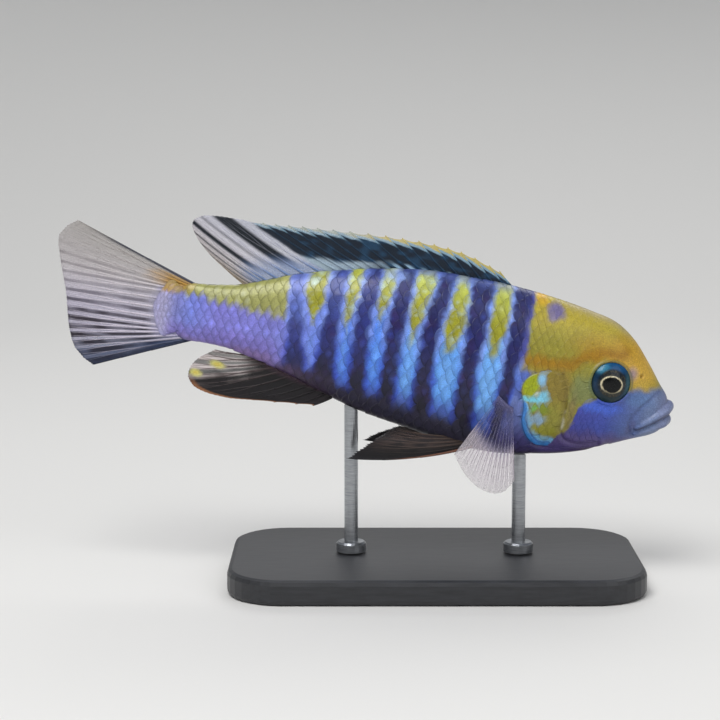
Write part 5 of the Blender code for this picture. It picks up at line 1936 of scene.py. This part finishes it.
BOARD = stretched("satin_board", "#232427", "#2E2F33", (260, 1900, 1900), 0.42, 0.0, 0.25)
STEEL = stretched("brushed_steel", "#8E9196", "#B4B7BB", (500, 500, 9000), 0.30, 1.0, 0.20)
FINISHES = {"stand_base": BOARD, "stand_rod_front": STEEL, "stand_rod_rear": STEEL}
for stand_node, finish in FINISHES.items():
    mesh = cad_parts[stand_node].data
    mesh.materials.clear()
    mesh.materials.append(finish)
print("stand finished:", BOARD.name, STEEL.name)

# %% [markdown]
# ## The floor
# A model is shown on a pale sweep, so that its own colours speak. A flat floor would end in a hard
# horizon. The floor here is a wide dish that curves up on all sides.

# %% Floor
DISH_RADIUS = 0.9
DISH_FLAT = 0.35
DISH_RISE = 0.35
DISH_RINGS = 60
DISH_SIDES = 96


def studio_floor():
    """A round paper dish, flat in the middle."""
    paper, _, shader = blank("floor_paper")
    shader.inputs["Base Color"].default_value = (0.74, 0.73, 0.71, 1.0)
    shader.inputs["Roughness"].default_value = 0.85
    radius = np.linspace(0.001, DISH_RADIUS, DISH_RINGS)
    height = DISH_RISE * np.clip((radius - DISH_FLAT) / (DISH_RADIUS - DISH_FLAT), 0, 1) ** 2.2
    turns = 2 * math.pi * np.arange(DISH_SIDES) / DISH_SIDES
    points = [(r * math.cos(a), r * math.sin(a), z) for r, z in zip(radius, height) for a in turns]
    mesh = bpy.data.meshes.new("studio_floor")
    mesh.from_pydata(points, [], [tuple(range(DISH_SIDES))] + ring_faces(DISH_RINGS, DISH_SIDES))
    mesh.materials.append(paper)
    mesh.shade_smooth()
    floor = bpy.data.objects.new("studio_floor", mesh)
    bpy.context.scene.collection.objects.link(floor)


studio_floor()
print("floor across, m:", 2 * DISH_RADIUS)

# %% [markdown]
# ## Lamps and camera
# One small lamp would give hard black shadows, and a bright sky alone would give none. A large key
# lamp, a weaker fill and a lamp behind stand round the fish, over a faint bluish sky. The camera is
# a long lens at the distance from which the fish was seen.

# %% Lamps and camera
AIM = (-0.01209, 0.0, 0.03554)
CAMERA_DISTANCE = 0.32
CAMERA_DOWN = math.radians(8)
LAMPS = [
    # name, azimuth from the camera, height in degrees, metres away, metres wide, watts
    ("key_lamp", -28, 56, 0.55, 0.30, 2.3),
    ("fill_lamp", 48, 30, 0.60, 0.40, 0.7),
    ("back_lamp", 170, 48, 0.60, 0.40, 1.2),
]
SKY = (0.90, 0.94, 1.0, 1.0)
SKY_STRENGTH = 0.27


def lamp(name, azimuth, height, away, size, power):
    """A square soft lamp, azimuth degrees round from the camera and aimed at the fish."""
    a, e = math.radians(azimuth), math.radians(height)
    light = bpy.data.lights.new(name, "AREA")
    light.energy = power
    light.size = size
    made = bpy.data.objects.new(name, light)
    from_fish = np.array([math.sin(a) * math.cos(e), -math.cos(a) * math.cos(e), math.sin(e)])
    made.location = np.array(AIM) + away * from_fish
    made.rotation_euler = (math.pi / 2 - e, 0.0, a)
    made.visible_camera = False
    bpy.context.scene.collection.objects.link(made)


def camera():
    """The camera, level with the fish's side and a little above."""
    made = bpy.data.objects.new("camera", bpy.data.cameras.new("camera"))
    made.data.lens = 100
    made.data.sensor_width = 36
    made.data.clip_start = 0.01
    back, up = CAMERA_DISTANCE * math.cos(CAMERA_DOWN), CAMERA_DISTANCE * math.sin(CAMERA_DOWN)
    made.location = (AIM[0], AIM[1] - back, AIM[2] + up)
    made.rotation_euler = (math.pi / 2 - CAMERA_DOWN, 0.0, 0.0)
    bpy.context.scene.collection.objects.link(made)
    bpy.context.scene.camera = made


for row in LAMPS:
    lamp(*row)
world = bpy.data.worlds.new("studio_air")
bpy.context.scene.world = world
world.use_nodes = True
world.node_tree.nodes["Background"].inputs["Color"].default_value = SKY
world.node_tree.nodes["Background"].inputs["Strength"].default_value = SKY_STRENGTH
camera()
bpy.context.scene.view_settings.view_transform = "Standard"
print("lamps:", len(LAMPS), "camera at", [round(v, 3) for v in bpy.context.scene.camera.location])
